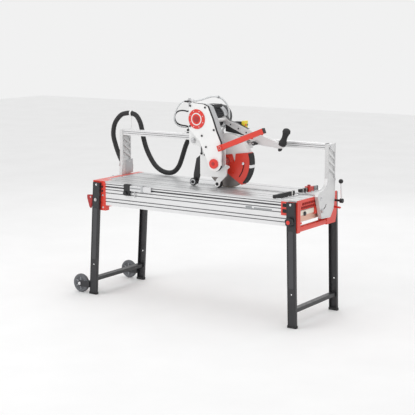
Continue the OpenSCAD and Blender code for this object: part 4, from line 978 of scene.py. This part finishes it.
for tag, y in (("front", -262), ("back", 282)):
    body = tag + "_wheel"
    prof = [(6.2, -8), (14, -8), (16, -10.5), (20, -10.5), (22, -6), (40, -6), (43, -10.5), (47, -12),
            (60, -12), (63.6, -9), (65, -5), (65, 5), (63.6, 9), (60, 12), (47, 12), (43, 10.5), (40, 6),
            (22, 6), (20, 10.5), (16, 10.5), (14, 8), (6.2, 8), (6.2, -8)]
    w = lathe(tag + "_tyre", prof, (WHEEL[0], y, WHEEL[1]), BACK, "tyre", body, 72)
    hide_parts(body)
    for s in range(6):
        turn = about_y(*WHEEL, 60 * s + 30)
        for f, yy in enumerate((-1, 1)):
            slab("%s_spoke_%d_%d" % (tag, s, f), (WHEEL[0] + 18, y + yy * 8 - 2.6, WHEEL[1] - 3.4),
                 (WHEEL[0] + 45, y + yy * 8 + 2.6, WHEEL[1] + 3.4), "wheel_hub", body, 1.0, turn)
    for f in (-1, 1):
        lathe("%s_hubcap_%d" % (tag, f), [(6.4, 0), (19, 0), (19, 2.5), (16, 4), (6.4, 4), (6.4, 0)],
              (WHEEL[0], y + f * 9.6, WHEEL[1]), (0, f, 0), "wheel_hub", body, 40)
        bolt("%s_axle_nut_%d" % (tag, f), (WHEEL[0], y + f * 25.2, WHEEL[1]), (0, f, 0), 9, 4,
             "left_leg_frame", "bright", False)

# ---------------------------------------------------------------- camera and light

AZ = math.radians(33.95)
EL = math.radians(9.612)
LENS = 100.96482
cam_data = bpy.data.cameras.new("camera")
cam_data.sensor_width = 36
cam_data.lens = LENS
cam_data.clip_end = 100
cam = bpy.data.objects.new("camera", cam_data)
bpy.context.scene.collection.objects.link(cam)
cam.location = at(4264.1, -6375.3, 1948.4)
cam.rotation_euler = (math.pi / 2 - EL, 0, AZ)
bpy.context.scene.camera = cam


def area_light(name, where, aim, size, power, colour=(1, 1, 1)):
    """Soft light aimed at a point, in metres."""
    d = bpy.data.lights.new(name, "AREA")
    d.shape = "RECTANGLE"
    d.size, d.size_y = size
    d.energy = power
    d.color = colour
    o = bpy.data.objects.new(name, d)
    bpy.context.scene.collection.objects.link(o)
    o.location = where
    o.rotation_euler = (Vector(aim) - Vector(where)).to_track_quat("-Z", "Y").to_euler()
    return o


area_light("key_light", (-2.2, -3.6, 3.6), (0, 0, 0.8), (3.0, 2.4), 42)
area_light("fill_light", (4.2, -2.4, 2.4), (0, 0, 0.8), (2.6, 2.6), 8)
area_light("top_light", (0.3, 0.6, 4.2), (0, 0, 0.8), (3.6, 2.4), 22)
area_light("back_light", (-1.5, 4.0, 2.6), (0, 0, 0.9), (3.0, 2.0), 12)

bpy.context.scene.view_settings.view_transform = "Standard"
world = bpy.data.worlds.new("studio")
bpy.context.scene.world = world
world.use_nodes = True
bg = world.node_tree.nodes["Background"]
bg.inputs[0].default_value = (1.0, 1.0, 1.0, 1)
bg.inputs[1].default_value = 0.88


def floor():
    """Plain pale floor."""
    bm = bmesh.new()
    bmesh.ops.create_grid(bm, x_segments=8, y_segments=8, size=14.0)
    for v in bm.verts:
        v.co.z = -0.0005
    me = bpy.data.meshes.new("floor")
    bm.to_mesh(me)
    o = bpy.data.objects.new("floor", me)
    bpy.context.scene.collection.objects.link(o)
    m, nt, bsdf = new_material("floor_white")
    n = noise(nt, coords(nt), 2.0)
    nt.links.new(ramp(nt, n, [(0.3, (0.90, 0.90, 0.90)), (0.7, (0.93, 0.93, 0.93))]),
                 bsdf.inputs["Base Color"])
    bsdf.inputs["Roughness"].default_value = 0.9
    me.materials.append(m)


floor()
